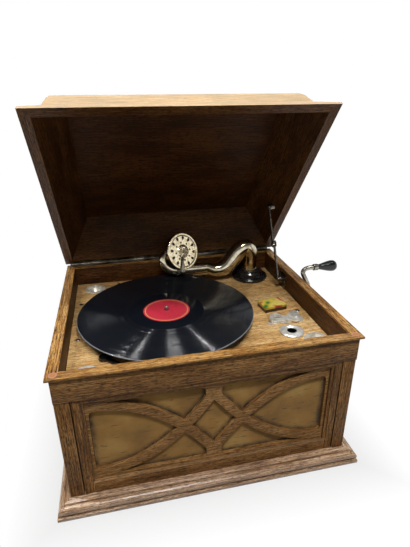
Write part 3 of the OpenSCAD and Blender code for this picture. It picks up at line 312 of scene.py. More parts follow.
def eased(node_name, width, material, fibre, shut=None, segments=2, inside=None, painted_light_and_dust=None, cuts=()):
    """Copies a solid, bevels its edges by width (m) and lays its grain.

    Each cut is a plane (point, normal), where the members of a frame meet.
    shut is the (turn, hinge) pair that takes the open lid to the shut one, where its faces are judged.
    """
    work = bmesh.new()
    work.from_mesh(nodes[node_name].data)
    bmesh.ops.remove_doubles(work, verts=work.verts, dist=SAME_POINT)
    bmesh.ops.dissolve_limit(work, angle_limit=FLAT_ANGLE, verts=work.verts, edges=work.edges)
    for point, normal in cuts:
        everything = work.verts[:] + work.edges[:] + work.faces[:]
        bmesh.ops.bisect_plane(work, geom=everything, plane_co=point, plane_no=normal)
    mesh = bpy.data.meshes.new(node_name + "_eased")
    work.to_mesh(mesh)
    work.free()
    piece = bpy.data.objects.new(node_name + "_eased", mesh)
    bpy.context.collection.objects.link(piece)
    bevel = piece.modifiers.new("edge", "BEVEL")
    bevel.width = width
    bevel.segments = segments
    bevel.limit_method = "ANGLE"
    bevel.angle_limit = SHARP_ANGLE
    bevel.use_clamp_overlap = True
    bevel.material = 1
    mesh.materials.append(material)
    mesh.materials.append(material)
    graph = bpy.context.evaluated_depsgraph_get()
    made = bpy.data.meshes.new_from_object(piece.evaluated_get(graph))
    piece.modifiers.clear()
    piece.data = made
    bpy.data.meshes.remove(mesh)
    index = read(made.polygons, "material_index", kind=np.int32)
    edge = made.attributes.new("edge", "FLOAT", "FACE")
    edge.data.foreach_set("value", index.astype(np.float32))
    made.polygons.foreach_set("material_index", np.zeros_like(index))
    made.materials.clear()
    made.materials.append(material)
    lay_grain(made, fibre, shut, sum(map(ord, node_name)) * LETTER_SHIFT, inside, painted_light_and_dust)
    shade_by_angle(made)
    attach(piece, carrier[node_name])
    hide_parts(node_name)
    return piece


# %% [markdown]
# ## Which way the fibre runs
# A panel is one board. A frame has four members that meet at mitres, and its faces are cut there,
# so that the fibre can turn the corner as it does in real joinery.

# %% Fibre directions
X, Y, Z = (1, 0, 0), (0, 1, 0), (0, 0, 1)
MEMBER_SHIFT = 0.37  # metres of grain between one member of a frame and the next


def one_way(axis):
    """The whole board has its fibre along one axis."""
    def fibre(centres, normals):
        return np.tile(np.array(axis, float), (len(centres), 1)), np.zeros(len(centres))
    return fibre


def mitred(half_x, half_y):
    """A frame of four members: fibre along Y where |x| - half_x beats |y| - half_y, and along X elsewhere."""
    def fibre(centres, normals):
        side = (np.abs(centres[:, 0]) - half_x) > (np.abs(centres[:, 1]) - half_y)
        along = np.where(side[:, None], [0.0, 1.0, 0.0], [1.0, 0.0, 0.0])
        quadrant = np.where(side, 1.0 + (centres[:, 0] > 0), 3.0 + (centres[:, 1] > 0))
        return along, MEMBER_SHIFT * quadrant
    return fibre


def mitre_cuts(half_x, half_y, middle=(0.0, 0.0, 0.0), shut=None):
    """Upright planes at 45 degrees through the four corners, turned to the open lid where shut is given."""
    cuts = []
    for sx, sy in ((1, 1), (1, -1)):
        for end in (1, -1):
            point = np.array([end * sx * half_x, end * sy * half_y, 0.0]) + middle
            normal = np.array([1.0, -sx * sy, 0.0])
            if shut is not None:
                point, normal = point @ shut[0] + shut[1], normal @ shut[0]
            cuts.append((tuple(point), tuple(normal)))
    return cuts


STILE = 0.1795  # where the grille frame's stiles end and its rails begin, in metres from the middle
GRILLE_MIDDLE = 0.111  # metres above the floor


def grille_members(centres, normals):
    """Stiles upright at the two ends, rails along X between them; each member starts its grain elsewhere."""
    stile = np.abs(centres[:, 0]) > STILE
    along = np.where(stile[:, None], [0.0, 0.0, 1.0], [1.0, 0.0, 0.0])
    return along, 0.53 * stile + 0.21 * (centres[:, 0] > 0) + 0.4 * (centres[:, 2] > GRILLE_MIDDLE)


# %% [markdown]
# ## The open lid
# The lid was joined as a level frame and then hung on its hinge. Its faces are turned back to the shut place
# before they are sorted, because there up, down and front mean what they meant to the joiner.

# %% Lid frame
LID_HALF = (0.22335, 0.19575)  # half of the lid's plan, in metres
lid_angle = math.radians(51.5)
lid_turn = np.array([[1, 0, 0],
                     [0, math.cos(lid_angle), -math.sin(lid_angle)],
                     [0, math.sin(lid_angle), math.cos(lid_angle)]])
hinge_at = np.array([0.0, 0.195, 0.23345])
lid_shut = (lid_turn, hinge_at)
lid_middle = np.array([0.0, -0.19825, 0.0])  # from the hinge


def lid_members(centres, normals):
    """The lid's walls in its shut frame, whose origin is at the hinge: mitred about the lid's middle."""
    return mitred(*LID_HALF)(centres - lid_middle, normals)


print("lid turns by", lid_angle, "about", hinge_at)

# %% [markdown]
# ## Stained, shaded and lit faces
# Inner faces are stained a little darker, and painted shade darkens hollows, gaps and undersides. Faces that
# the light falls on get painted light and go pale.
# Each rule below gives every face a share from 0 to 1.

# %% Rules for faces
def facing_in(centres, normals):
    """True for faces that look at the vertical axis: the plan parts of centre and normal oppose."""
    return np.sum(centres[:, :2] * normals[:, :2], axis=1) < -0.02


def lid_hollow(centres, normals):
    """0.8 on the lid's walls that face its middle, in its shut frame: a darker stain with painted shade. 0.5
    on the rim that faces down: painted shade under it.
    """
    return np.maximum(0.8 * facing_in(centres - lid_middle, normals), 0.5 * (normals[:, 2] < -0.7))


def lit_lid_front(centres, normals):
    """0.6 on the lid's outer front face, in its shut frame. On an open lid it lies uppermost and takes painted
    light that makes it pale.
    """
    return 0.6 * ((normals[:, 1] < -0.4) & (centres[:, 1] < -0.3))


def shaded_reveal(centres, normals):
    """0.75 on faces of the grille's openings that look sideways or down: painted shade in the openings."""
    return 0.75 * ((np.abs(normals[:, 1]) < 0.5) & (normals[:, 2] < 0.35))


def lit_sill(centres, normals):
    """0.12 on faces of the openings that look up: pale with painted light from above, and a little dust."""
    return 0.12 * ((np.abs(normals[:, 1]) < 0.75) & (normals[:, 2] > 0.45))


def shaded_post_gap(centres, normals):
    """0.9 on post faces that look across the front towards the grille frame: painted shade in the gap beside
    it.
    """
    return 0.9 * (centres[:, 0] * normals[:, 0] < -0.1)


def underside(centres, normals):
    """True for faces that look down in the frame of the shut lid."""
    return normals[:, 2] < -0.5


# %% [markdown]
# ## The wooden pieces
# The plinth, the top frame, the rim and the lid's walls are mitred. The other boards run one way.

# %% Wooden pieces
PLINTH_HALF = (0.2346, 0.2067)  # half of each frame's plan, in metres
TOP_HALF = (0.2158, 0.1879)
RIM_HALF = (0.2203, 0.1925)

eased("plinth", 0.0009, oak_foot, mitred(*PLINTH_HALF), cuts=mitre_cuts(*PLINTH_HALF))
# Painted shade on the posts' faces in the gap beside the grille frame.
eased("corner_posts", 0.001, oak_case, one_way(Z), inside=shaded_post_gap)
eased("left_side_panel", 0.0008, oak_case, one_way(Y))
eased("right_side_panel", 0.0008, oak_case, one_way(Y))
eased("back_panel", 0.0008, oak_case, one_way(X))
# The top frame's faces round the well are darker: a darker stain with painted shade.
eased("top_frame", 0.0009, oak_case, mitred(*TOP_HALF), inside=facing_in, cuts=mitre_cuts(*TOP_HALF))
eased("rim_lip", 0.0008, oak_rim, mitred(*RIM_HALF), cuts=mitre_cuts(*RIM_HALF))
# The grille's openings: painted shade on faces that look sideways or down, painted light on the sills.
eased("grille_frame", 0.001, oak_case, grille_members, inside=shaded_reveal, painted_light_and_dust=lit_sill,
      cuts=[((side * STILE, 0, 0), X) for side in (-1, 1)])
# The fret's sideways and downward faces carry painted shade.
fret = eased("fretwork", 0.0009, oak_fret, one_way(X), inside=shaded_reveal)
eased("motor_board", 0.0006, oak_deck, one_way(X))
# The lid's walls: darker inside with stain and painted shade, and painted light on the outer front.
eased("lid_walls", 0.0009, oak_case, lid_members, lid_shut, inside=lid_hollow, painted_light_and_dust=lit_lid_front,
      cuts=mitre_cuts(*LID_HALF, lid_middle, lid_shut))
# The lid's ceiling inside is darker: a darker stain with painted shade.
eased("lid_top", 0.0025, oak_case, one_way(X), lid_shut, inside=underside)
eased("base_board", 0.0006, oak_inside, one_way(X))
eased("deck_battens", 0.0006, oak_inside, one_way(Y))
eased("horn", 0.0006, oak_inside, one_way(X))
print("wooden pieces eased")

# %% [markdown]
# ## Metals
# Nickel plate is a warm grey metal that mirrors the room, with fine scratches and cloudy patches of tarnish.
# Steel and brass inside the motor are plainer.

# %% Metal finish
def plated(name, bright, dull, roughness, spot=9.0, scratch=0.7, metal=1.0):
    """Metal whose colour and roughness drift between bright and dull over patches of spot millimetres."""
    material, tree, shader = new_finish(name, Metallic=metal)
    place = add(tree, "TexCoord").outputs["Object"]
    cloud = add(tree, "TexNoise", {"Vector": place, "Scale": 1000 / spot, "Detail": 5.0, "Roughness": 0.6})
    colour = ramp(tree, cloud.outputs["Fac"], (0.38, dull), (0.58, bright))
    rough = add(tree, "MapRange", {"Value": cloud.outputs["Fac"], "From Min": 0.35, "From Max": 0.65,
                                   "To Min": roughness + 0.14, "To Max": roughness})
    fine = add(tree, "TexNoise", {"Vector": place, "Scale": 1000 / scratch, "Detail": 2.0})
    bump = add(tree, "Bump", {"Height": fine.outputs["Fac"], "Strength": 0.04, "Distance": 0.0001})
    feed(shader, Base_Color=colour.outputs[0], Roughness=rough.outputs[0], Normal=bump.outputs[0])
    return material


# %% Metal pieces
# Polished plate mirrors dark and light in sharp patches
nickel = plated("worn_nickel_plate", "#d6cdb6", "#a2977d", 0.05, spot=16.0)
# Years of winding have dulled the crank
rod_nickel = plated("rubbed_crank_nickel", "#aaa69b", "#716b5e", 0.16, spot=6.0)
# Satin plate scatters the light, so it looks pale grey from every side
satin = plated("satin_nickel_plate", "#f1eee4", "#cbc3b2", 0.3, metal=0.55)
# Old plate on the soundbox has yellowed to cream
cream = plated("aged_cream_nickel", "#efe3c6", "#c5b48c", 0.14, spot=5.0)
# Small fittings and the hinge have tarnished to a dark, dull grey
dark_nickel = plated("tarnished_dark_nickel", "#8f8a80", "#4c463e", 0.22)
hinge_metal = plated("dulled_hinge_nickel", "#8c8476", "#4a4238", 0.3, spot=20.0)
# The motor's steel is grey and oily, its brass dull, and its spring blued by heat
steel = plated("plain_motor_steel", "#9b9a95", "#6f6d68", 0.32)
brass = plated("dull_yellow_brass", "#a88d55", "#6d5830", 0.28)
spring_steel = plated("blued_spring_steel", "#5b6570", "#3b424a", 0.3)
platter_metal = plated("plated_platter_steel", "#a9a498", "#7a766c", 0.25)

dress(rod_nickel, "crank_handle", "crank_escutcheon")
dress(nickel, "tonearm_riser", "soundbox_shell", "needle_screw")
dress(satin, "needle_cups")
dress(hinge_metal, "hinge_leaf_body", "hinge_leaf_lid", "hinge_pin")
dress(dark_nickel, "stay_bracket", "stay_lower_link", "stay_lid_plate", "stay_upper_link", "needle_bar",
      "deck_screws", "brake_plate")
dress(steel, "horn_throat", "motor_top_plate", "motor_pillars", "motor_base_plate", "spindle",
      "winding_arbor", "needle", "diaphragm")
dress(brass, "motor_bearings", "spring_barrel", "governor")
dress(spring_steel, "mainspring")
dress(platter_metal, "platter")
print("metals dressed")

# %% [markdown]
# ## Used-needle cup and speed plate
# The cup is a satin nickel plate round a hole, and the hole's floor is painted black as the shade inside it.
# Its solid is one piece, so height tells the plate from the pit. The speed plate and its lever are stamped, so
# their edges are round.

# %% Used-needle cup and speed plate
PIT_TOP, PLATE_LOW = 0.1946, 0.1950  # metres above the floor

pit, tree, shader = new_finish("satin_nickel_over_dark_pit", Roughness=0.3)
place = add(tree, "TexCoord").outputs["Object"]
drop = add(tree, "SeparateXYZ", {0: place})
top = add(tree, "MapRange", {"Value": drop.outputs["Z"], "From Min": PIT_TOP, "From Max": PLATE_LOW})
cloud = add(tree, "TexNoise", {"Vector": place, "Scale": 1000 / 7, "Detail": 4.0})
plate = ramp(tree, cloud.outputs["Fac"], (0.38, "#d9d5ca"), (0.6, "#f4f2ec"))
# Painted shade: the pit below the plate is near black.
two_tone = add(tree, "Mix", {"Factor": top.outputs[0], 6: linear("#0a0908"), 7: plate.outputs[0]},
               data_type="RGBA")
half_metal = add(tree, "Math", {0: top.outputs[0], 1: 0.5}, operation="MULTIPLY")
feed(shader, Base_Color=two_tone.outputs[2], Metallic=half_metal.outputs[0])
dress(pit, "used_needle_cup")
for name in ("speed_plate", "speed_lever"):
    eased(name, 0.0007, satin, one_way(X), segments=3)
print("cup and speed plate dressed")

# %% [markdown]
# ## Enamel, lacquer and rubber
# Stove enamel and lacquer are deep black with a clear gloss. Rubber is dull and has aged to pink.
# Each is two close tones in soft patches, because no old paint is even.

# %% Paint finish
def glossy(name, colour, grey, roughness, patch=14.0, coat=0.4):
    """Paint or lacquer: two tones in patches of patch millimetres; the greyer parts are rougher."""
    material, tree, shader = new_finish(name, Coat_Weight=coat, Coat_Roughness=0.1)
    place = add(tree, "TexCoord").outputs["Object"]
    cloud = add(tree, "TexNoise", {"Vector": place, "Scale": 1000 / patch, "Detail": 4.0})
    tone = ramp(tree, cloud.outputs["Fac"], (0.35, colour), (0.7, grey))
    rough = add(tree, "MapRange", {"Value": cloud.outputs["Fac"],
                                   "To Min": roughness - 0.08, "To Max": roughness + 0.12})
    feed(shader, Base_Color=tone.outputs[0], Roughness=rough.outputs[0])
    return material


enamel = glossy("black_stove_enamel", "#0d0d0e", "#1b1b1c", 0.25)
lacquer = glossy("black_lacquered_grip", "#0b0c0e", "#191b1e", 0.2, coat=0.2)
dark_tin = glossy("dark_enamelled_tin", "#2a1a12", "#3d281b", 0.4)
dress(enamel, "tonearm_base", "brake_lever")
dress(lacquer, "crank_grip")
dress(dark_tin, "needle_tin")
print("paints dressed")

# %% [markdown]
# ## Lid buffers
# The lid lands on two rubber buttons at the rim's front corners. Their tops are worn brown in the middle,
# which leaves a pink ring. The buttons mirror each other, so one distance from |x| and |y| serves both.

# %% Lid buffers
BUFFER_AT = (0.21045, 0.1826, 0.0)  # metres from the middle, without sign
WORN_TO, PINK_FROM = 0.0034, 0.0042  # metres from the button's axis

rubber = glossy("aged_pink_rubber", "#a8705c", "#c08a74", 0.7, coat=0.0)
tree = rubber.node_tree
place = add(tree, "TexCoord").outputs["Object"]
apart = add(tree, "VectorMath", {0: place}, operation="ABSOLUTE")
offset = add(tree, "VectorMath", {0: apart.outputs[0], 1: BUFFER_AT}, operation="SUBTRACT")
offset = add(tree, "VectorMath", {0: offset.outputs[0], 1: (1.0, 1.0, 0.0)}, operation="MULTIPLY")
reach = add(tree, "VectorMath", {0: offset.outputs[0]}, operation="LENGTH")
worn = add(tree, "MapRange", {"Value": reach.outputs["Value"], "From Min": WORN_TO, "From Max": PINK_FROM})
shader = next(n for n in tree.nodes if n.type == "BSDF_PRINCIPLED")
pink = shader.inputs["Base Color"].links[0].from_socket
two_tone = add(tree, "Mix", {"Factor": worn.outputs[0], 6: linear("#a9743f"), 7: pink}, data_type="RGBA")
feed(shader, Base_Color=two_tone.outputs[2])
dress(rubber, "lid_buffers")
print("buffers dressed")

# %% [markdown]
# ## Record and label
# Shellac is a hard black resin, pressed with about a hundred grooves to the inch, too fine for this picture.
# Rings 1.1 mm apart stand in for them, so the light still breaks into spokes as it does on the real disc.
# The slope of each ring is added to the surface's normal. A bump map would measure it from pixel to pixel,
# and rings as fine as a pixel would turn to noise.
# The label is red paper with a thin gold ring. It carries no words.

# %% Record finish
SPINDLE_AT = np.array([-0.0433, -0.0087, 0.0])  # metres
GROOVE_PITCH = 1.1  # millimetres
GROOVES_FROM = (0.064, 0.0645)  # metres from the spindle, where the smooth run-out ends
RIM_HIGHLIGHT = (0.1488, 0.1493)  # metres from the spindle, where the edge turns pale grey as a painted highlight


def about_spindle(tree):
    """Plan coordinates from the spindle, and their length: the square root of x squared plus y squared."""
    place = add(tree, "TexCoord").outputs["Object"]
    centred = add(tree, "Mapping", {"Vector": place, "Location": tuple(-SPINDLE_AT)})
    flat = add(tree, "VectorMath", {0: centred.outputs[0], 1: (1.0, 1.0, 0.0)}, operation="MULTIPLY")
    radius = add(tree, "VectorMath", {0: flat.outputs[0]}, operation="LENGTH")
    return flat.outputs[0], radius.outputs["Value"]


shellac, tree, shader = new_finish("pressed_black_shellac", Specular_IOR_Level=0.5)
place, radius = about_spindle(tree)
turns = add(tree, "Math", {0: radius, 1: 2 * math.pi * 1000 / GROOVE_PITCH}, operation="MULTIPLY")
groove = add(tree, "Math", {0: turns.outputs[0]}, operation="SINE")
loud = add(tree, "TexNoise", {"W": radius, "Scale": 1000 / 5, "Detail": 2.0}, noise_dimensions="1D")
steep = add(tree, "MapRange", {"Value": loud.outputs["Fac"], "From Min": 0.3, "From Max": 0.7,
                               "To Min": 0.52, "To Max": 0.66})
grooved = add(tree, "MapRange", {"Value": radius, "From Min": GROOVES_FROM[0], "From Max": GROOVES_FROM[1]})
slope = add(tree, "Math", {0: groove.outputs[0], 1: steep.outputs[0]}, operation="MULTIPLY")
slope = add(tree, "Math", {0: slope.outputs[0], 1: grooved.outputs[0]}, operation="MULTIPLY")
outward = add(tree, "VectorMath", {0: place}, operation="NORMALIZE")
lean = add(tree, "VectorMath", {0: outward.outputs[0], "Scale": slope.outputs[0]}, operation="SCALE")
lean = add(tree, "VectorTransform", {0: lean.outputs[0]}, vector_type="VECTOR",
           convert_from="OBJECT", convert_to="WORLD")
face = add(tree, "NewGeometry")
tilted = add(tree, "VectorMath", {0: face.outputs["Normal"], 1: lean.outputs[0]}, operation="ADD")
normal = add(tree, "VectorMath", {0: tilted.outputs[0]}, operation="NORMALIZE")
dust = add(tree, "TexNoise", {"Vector": place, "Scale": 1000 / 24, "Detail": 5.0})
rough = add(tree, "MapRange", {"Value": dust.outputs["Fac"], "From Min": 0.3, "From Max": 0.7,
                               "To Min": 0.1, "To Max": 0.16})
# Painted highlight: the outer edge of the disc turns pale grey.
rim = add(tree, "MapRange", {"Value": radius, "From Min": RIM_HIGHLIGHT[0], "From Max": RIM_HIGHLIGHT[1]})
body = add(tree, "Mix", {"Factor": rim.outputs[0], 6: linear("#11161d"), 7: linear("#85888c")},
           data_type="RGBA")
feed(shader, Normal=normal.outputs[0], Roughness=rough.outputs[0], Base_Color=body.outputs[2])
dress(shellac, "record")
print("record dressed")

# %% Label finish
GOLD_RING, RING_HALF_WIDTH = 36.6, 0.9  # millimetres

label_paper, tree, shader = new_finish("red_label_paper", Roughness=0.62)
place, radius = about_spindle(tree)
millimetres = add(tree, "Math", {0: radius, 1: 1000.0}, operation="MULTIPLY")
fibre_noise = add(tree, "TexNoise", {"Vector": place, "Scale": 1000 / 2.5, "Detail": 4.0})
red = ramp(tree, fibre_noise.outputs["Fac"], (0.3, "#bd1930"), (0.7, "#da364c"))
ring = add(tree, "Math", {0: millimetres.outputs[0], 1: GOLD_RING, 2: RING_HALF_WIDTH}, operation="COMPARE")
inked = add(tree, "Mix", {"Factor": ring.outputs[0], 6: red.outputs[0], 7: linear("#d7a264")},
            data_type="RGBA")
feed(shader, Base_Color=inked.outputs[2])
dress(label_paper, "record_label")
print("label dressed")

# %% [markdown]
# ## Needle tin
# The tin's cover is lithographed. Soft yellow, green and red patches stand for its print.

# %% Tin cover
tin_print, tree, shader = new_finish("lithographed_tin_cover", Roughness=0.3, Coat_Weight=0.3)
place = add(tree, "TexCoord").outputs["Object"]
patch = add(tree, "TexNoise", {"Vector": place, "Scale": 1000 / 16, "Detail": 1.0})
print_colour = ramp(tree, patch.outputs["Fac"], (0.3, "#3c7a34"), (0.42, "#c9b23c"), (0.55, "#dcc65a"),
                    (0.66, "#b5402c"))
feed(shader, Base_Color=print_colour.outputs[0])
dress(tin_print, "needle_tin_lid")
print("tin dressed")

# %% [markdown]
# ## Surfaces from numpy
# A tube is a circle carried along a path. The path is a smooth curve through a few points,
# and the radius changes from point to point. A padded disc is a profile turned about an axis.

# %% Grid surfaces
def smooth_path(points, steps):
    """Catmull-Rom curve: each span blends its two ends and their neighbours with cubic weights."""
    p = np.asarray(points, float)
    p = np.vstack([2 * p[0] - p[1], p, 2 * p[-1] - p[-2]])
    t = (np.arange(steps) / steps)[None, :, None]
    a, b, c, d = p[:-3, None], p[1:-2, None], p[2:-1, None], p[3:, None]
    curve = 0.5 * (2 * b + (c - a) * t + (2 * a - 5 * b + 4 * c - d) * t ** 2
                   + (3 * b - a - 3 * c + d) * t ** 3)
    return np.vstack([curve.reshape(-1, p.shape[1]), p[-2]])


def grid_mesh(name, rings, caps=True):
    """Joins rings of points (n, m, 3) into quads that wrap round in m; the ends have caps or meet."""
    n, m, _ = rings.shape
    i, j = np.meshgrid(np.arange(n - 1), np.arange(m), indexing="ij")
    a, b = i * m + j, i * m + (j + 1) % m
    quads = np.stack([a, b, b + m, a + m], axis=-1).reshape(-1, 4).tolist()
    ends = [list(range(m))[::-1], list(range((n - 1) * m, n * m))] if caps else []
    mesh = bpy.data.meshes.new(name)
    mesh.from_pydata(rings.reshape(-1, 3).tolist(), [], quads + ends)
    work = bmesh.new()
    work.from_mesh(mesh)
    if not caps:
        bmesh.ops.remove_doubles(work, verts=work.verts, dist=SAME_POINT)
    bmesh.ops.recalc_face_normals(work, faces=work.faces)
    work.to_mesh(mesh)
    work.free()
    shade_by_angle(mesh)
    return mesh


def carried_circle(path, sides=48):
    """Circle of radius path[:, 3] about each point, in the plane across the path; result in metres."""
    at = path[:, :3]
    along = np.gradient(at, axis=0)
    along /= np.linalg.norm(along, axis=1, keepdims=True)
    across = np.cross(along, [0.0, 1.0, 0.05])
    across /= np.linalg.norm(across, axis=1, keepdims=True)
    beside = np.cross(along, across)
    angle = np.linspace(0, 2 * math.pi, sides, endpoint=False)
    ring = np.cos(angle)[None, :, None] * across[:, None] + np.sin(angle)[None, :, None] * beside[:, None]
    return (at[:, None] + path[:, 3][:, None, None] * ring) * MM


def place_piece(mesh, body, material, slot, *stands_for):
    """Links a finished mesh as a piece at the origin, on its body, in place of the named solids."""
    piece = bpy.data.objects.new(mesh.name, mesh)
    bpy.context.collection.objects.link(piece)
    mesh.materials.clear()
    mesh.materials.append(material)
    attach(piece, body)
    if stands_for:
        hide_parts(*stands_for)
    return piece


# %% [markdown]
# ## Tonearm
# The arm is a tapering tube that rises from its base, bends over and runs level to the joint.
# Beyond the joint the gooseneck folds back and up to the soundbox. Each point is a place and a radius, in mm.

# %% Tonearm tube and gooseneck
arm_points = [(155.05, 137, 238.2, 14), (155.05, 137, 241.2, 14), (155.05, 137, 247.2, 14.3),
              (152.05, 137, 257.2, 15), (143.05, 137, 263.2, 15.8), (131.05, 137, 256.2, 16.9),
              (119.05, 136.5, 241.5, 17.6), (106.05, 135.5, 226.8, 17.8), (92.05, 134.5, 220, 16.6),
              (78.05, 134, 219.4, 14.4), (68.05, 134, 222.8, 12.5), (61.05, 134, 225.7, 11.3),
              (56.05, 134, 226, 11), (48, 134, 226, 11), (40.05, 134, 226, 11)]
arm_tube = grid_mesh("tonearm_tube_fine", carried_circle(smooth_path(arm_points, 10)))
place_piece(arm_tube, "arm", nickel, "nickel", "tonearm_tube")

BOX_DEPTH = 20  # millimetres from the soundbox's front to its back
turn, tilt = math.radians(30.3), math.radians(18.7)
box_out = np.array([math.sin(turn) * math.cos(tilt), -math.cos(turn) * math.cos(tilt), math.sin(tilt)])
box_side = np.array([math.cos(turn), math.sin(turn), 0.0])
box_up = np.cross(box_out, box_side)
box_at = np.array([10.05, 119, 271.0])
back = box_at - BOX_DEPTH * box_out
neck_points = [(39.75, 134, 226, 10.8), (22.05, 134, 226, 10.8), (5.05, 134, 226, 10.8),
               (-9.95, 134.3, 227.5, 10.8), (-22.95, 136, 236, 10.7), (-26.95, 139, 248.5, 10.5),
               (-20.95, 142, 258, 10.2), (-10.95, 143, 261.5, 9.9)]
neck_points += [tuple(back - 6 * box_out) + (9.5,), tuple(back - 3 * box_out) + (9.4,), tuple(back) + (9.4,)]
neck_tube = grid_mesh("gooseneck_fine", carried_circle(smooth_path(neck_points, 10)))
place_piece(neck_tube, "neck", nickel, "nickel", "gooseneck")
print("tubes made")

# %% [markdown]
# ## Soundbox front
# The front of the soundbox is a stamped disc: a bright rim, a dished ring with twelve teardrop holes
# and eight small ones, and a fluted dome in the middle. It is a polar grid whose height depends on radius
# and angle, and the faces that fall inside a hole are left out.

# %% Soundbox front
RIM_RADIUS = 36.5  # millimetres, as are the next four
DOME_RADIUS = 13
TEARDROP_AT, TEARDROP_LENGTH = 26.2, 3.9
SMALL_HOLE_AT = 17.5


def stamped_disc(rim, sides=288):
    """Height by radius: 0 on the rim, -1.2 in the dish, and a dome with twelve flutes; in mm.

    A hole is an ellipse in radius and arc. A teardrop narrows by 0.32 mm for each mm towards the middle.
    """
    radius = np.concatenate([np.linspace(0.3, 31, 62), [31.6, 32.2, 32.6, 34, 35.4, 36.1, rim, rim]])
    angle = np.linspace(0, 2 * math.pi, sides, endpoint=False)
    r, a = np.meshgrid(radius, angle, indexing="ij")
    share = np.clip(r / DOME_RADIUS, 0, 1)
    dome = 2.6 * np.sqrt(1 - share ** 2) + 0.9 * np.cos(12 * a) * share * (1 - share) * 2
    height = np.interp(r, [0, 14, 30, 31.6, 32.6, 35.4, 36.1, rim],
                       [-1.2, -1.2, -0.9, -1.3, 0, 0, -0.2, -0.9]) + dome
    height[-1] = -3.0
    points = box_at + r[..., None] * (np.cos(a)[..., None] * box_side + np.sin(a)[..., None] * box_up)
    points = (points + height[..., None] * box_out) * MM
    n = len(radius)
    i, j = np.meshgrid(np.arange(n - 1), np.arange(sides), indexing="ij")
    first, second = i * sides + j, i * sides + (j + 1) % sides
    quads = np.stack([first, second, second + sides, first + sides], axis=-1)
    mid_r, mid_a = 0.5 * (r[:-1] + r[1:]), a[:-1] + math.pi / sides
    off = (mid_a - math.radians(15) + math.pi / 12) % (math.pi / 6) - math.pi / 12
    width = np.maximum(2.7 - 0.32 * (TEARDROP_AT - mid_r), 0.6)
    teardrop = ((mid_r - TEARDROP_AT) / TEARDROP_LENGTH) ** 2 + (off * mid_r / width) ** 2 < 1
    turn_small = (mid_a + math.pi / 8) % (math.pi / 4) - math.pi / 8
    small = ((mid_r - SMALL_HOLE_AT) / 2.0) ** 2 + (turn_small * mid_r / 1.9) ** 2 < 1
    mesh = bpy.data.meshes.new("soundbox_front_fine")
    mesh.from_pydata(points.reshape(-1, 3).tolist(), [], quads[~(teardrop | small)].tolist())
    shade_by_angle(mesh, 50.0)
    return mesh


place_piece(stamped_disc(RIM_RADIUS), "neck", cream, "nickel", "soundbox_face")
print("soundbox front made")

# %% [markdown]
# ## Grille cloth
# The cloth behind the fret is a coarse gold weave, stained where dust was drawn through it.
# Its threads are drawn 1.6 mm apart, about as fine as this picture can show.
# It is stretched on the board, so it stays nearly flat, with a little slack between the bars.

# %% Cloth finish
THREAD = 1.6  # millimetres

cloth, tree, shader = new_finish("woven_gold_grille_cloth", Roughness=0.85, Sheen_Weight=0.2)
place = add(tree, "TexCoord").outputs["Object"]
split = add(tree, "SeparateXYZ", {0: place})
waves = []
for axis in ("X", "Z"):
    turns = add(tree, "Math", {0: split.outputs[axis], 1: 2 * math.pi * 1000 / THREAD}, operation="MULTIPLY")
    waves.append(add(tree, "Math", {0: turns.outputs[0]}, operation="SINE").outputs[0])
weave = add(tree, "Math", {0: waves[0], 1: waves[1]}, operation="MULTIPLY")
soft = add(tree, "TexNoise", {"Vector": place, "Scale": 1000 / 60, "Detail": 3.0})
gold = ramp(tree, soft.outputs["Fac"], (0.36, "#9c7234"), (0.5, "#b98a42"), (0.66, "#cfa45a"))
stain_at = add(tree, "Mapping", {"Vector": place, "Scale": (1000 / 22, 1, 1000 / 3.5)})
stain = add(tree, "TexNoise", {"Vector": stain_at.outputs[0], "Scale": 1.0, "Detail": 5.0, "Roughness": 0.6})
stained = add(tree, "MapRange", {"Value": stain.outputs["Fac"], "From Min": 0.6, "From Max": 0.7,
                                 "To Max": 0.8})
soiled = add(tree, "Mix", {"Factor": stained.outputs[0], 6: gold.outputs[0], 7: linear("#3a2c16")},
             data_type="RGBA")
# Soot and painted shade: the cloth darkens near the fret's edges, in ragged patches.
near = add(tree, "Attribute", attribute_name="near_bar")
ragged = add(tree, "TexNoise", {"Vector": place, "Scale": 1000 / 14, "Detail": 5.0, "Roughness": 0.65})
patchy = add(tree, "MapRange", {"Value": ragged.outputs["Fac"], "From Min": 0.3, "From Max": 0.62,
                                "To Min": 0.25, "To Max": 1.0})
soot_and_shade = add(tree, "Math", {0: near.outputs["Fac"], 1: patchy.outputs[0]}, operation="MULTIPLY")
sooted_and_shaded = add(tree, "Mix", {"Factor": soot_and_shade.outputs[0], 6: soiled.outputs[2], 7: linear("#1f1810")},
            data_type="RGBA")
thread = add(tree, "MapRange", {"Value": weave.outputs[0], "From Min": -1.0, "To Min": 0.72, "To Max": 1.15})
shaded = add(tree, "VectorMath", {0: sooted_and_shaded.outputs[2], 1: thread.outputs[0]}, operation="MULTIPLY")
bump = add(tree, "Bump", {"Height": weave.outputs[0], "Strength": 0.5, "Distance": 0.0003})
feed(shader, Base_Color=shaded.outputs[0], Normal=bump.outputs[0])
print("cloth finish ready")

# %% [markdown]
# ## Soot and shade beside the bars
# Air leaves its dust in the cloth where the bars hold it back, and the bars shade it, so a dark line is
# painted beside each bar: partly soot, partly painted shade.
# So the cloth's points carry how near they lie to the fret's edges.

# %% Grille cloth
SLACK = 0.0003  # metres
SOOT_AND_SHADE_WIDTH = 0.005  # metres


def along_edges(mesh, spacing=0.003):
    """Points about every spacing metres along all edges of a mesh: start + share x (end - start)."""
    ends = read(mesh.edges, "vertices", 2, np.int32)
    start, end = read(mesh.vertices, "co", 3)[ends].transpose(1, 0, 2)
    parts = np.maximum(1, np.ceil(np.linalg.norm(end - start, axis=1) / spacing)).astype(int)
    edge = np.repeat(np.arange(len(parts)), parts)
    share = (np.arange(len(edge)) - np.repeat(np.cumsum(parts) - parts, parts)) / parts[edge]
    return start[edge] + share[:, None] * (end - start)[edge]


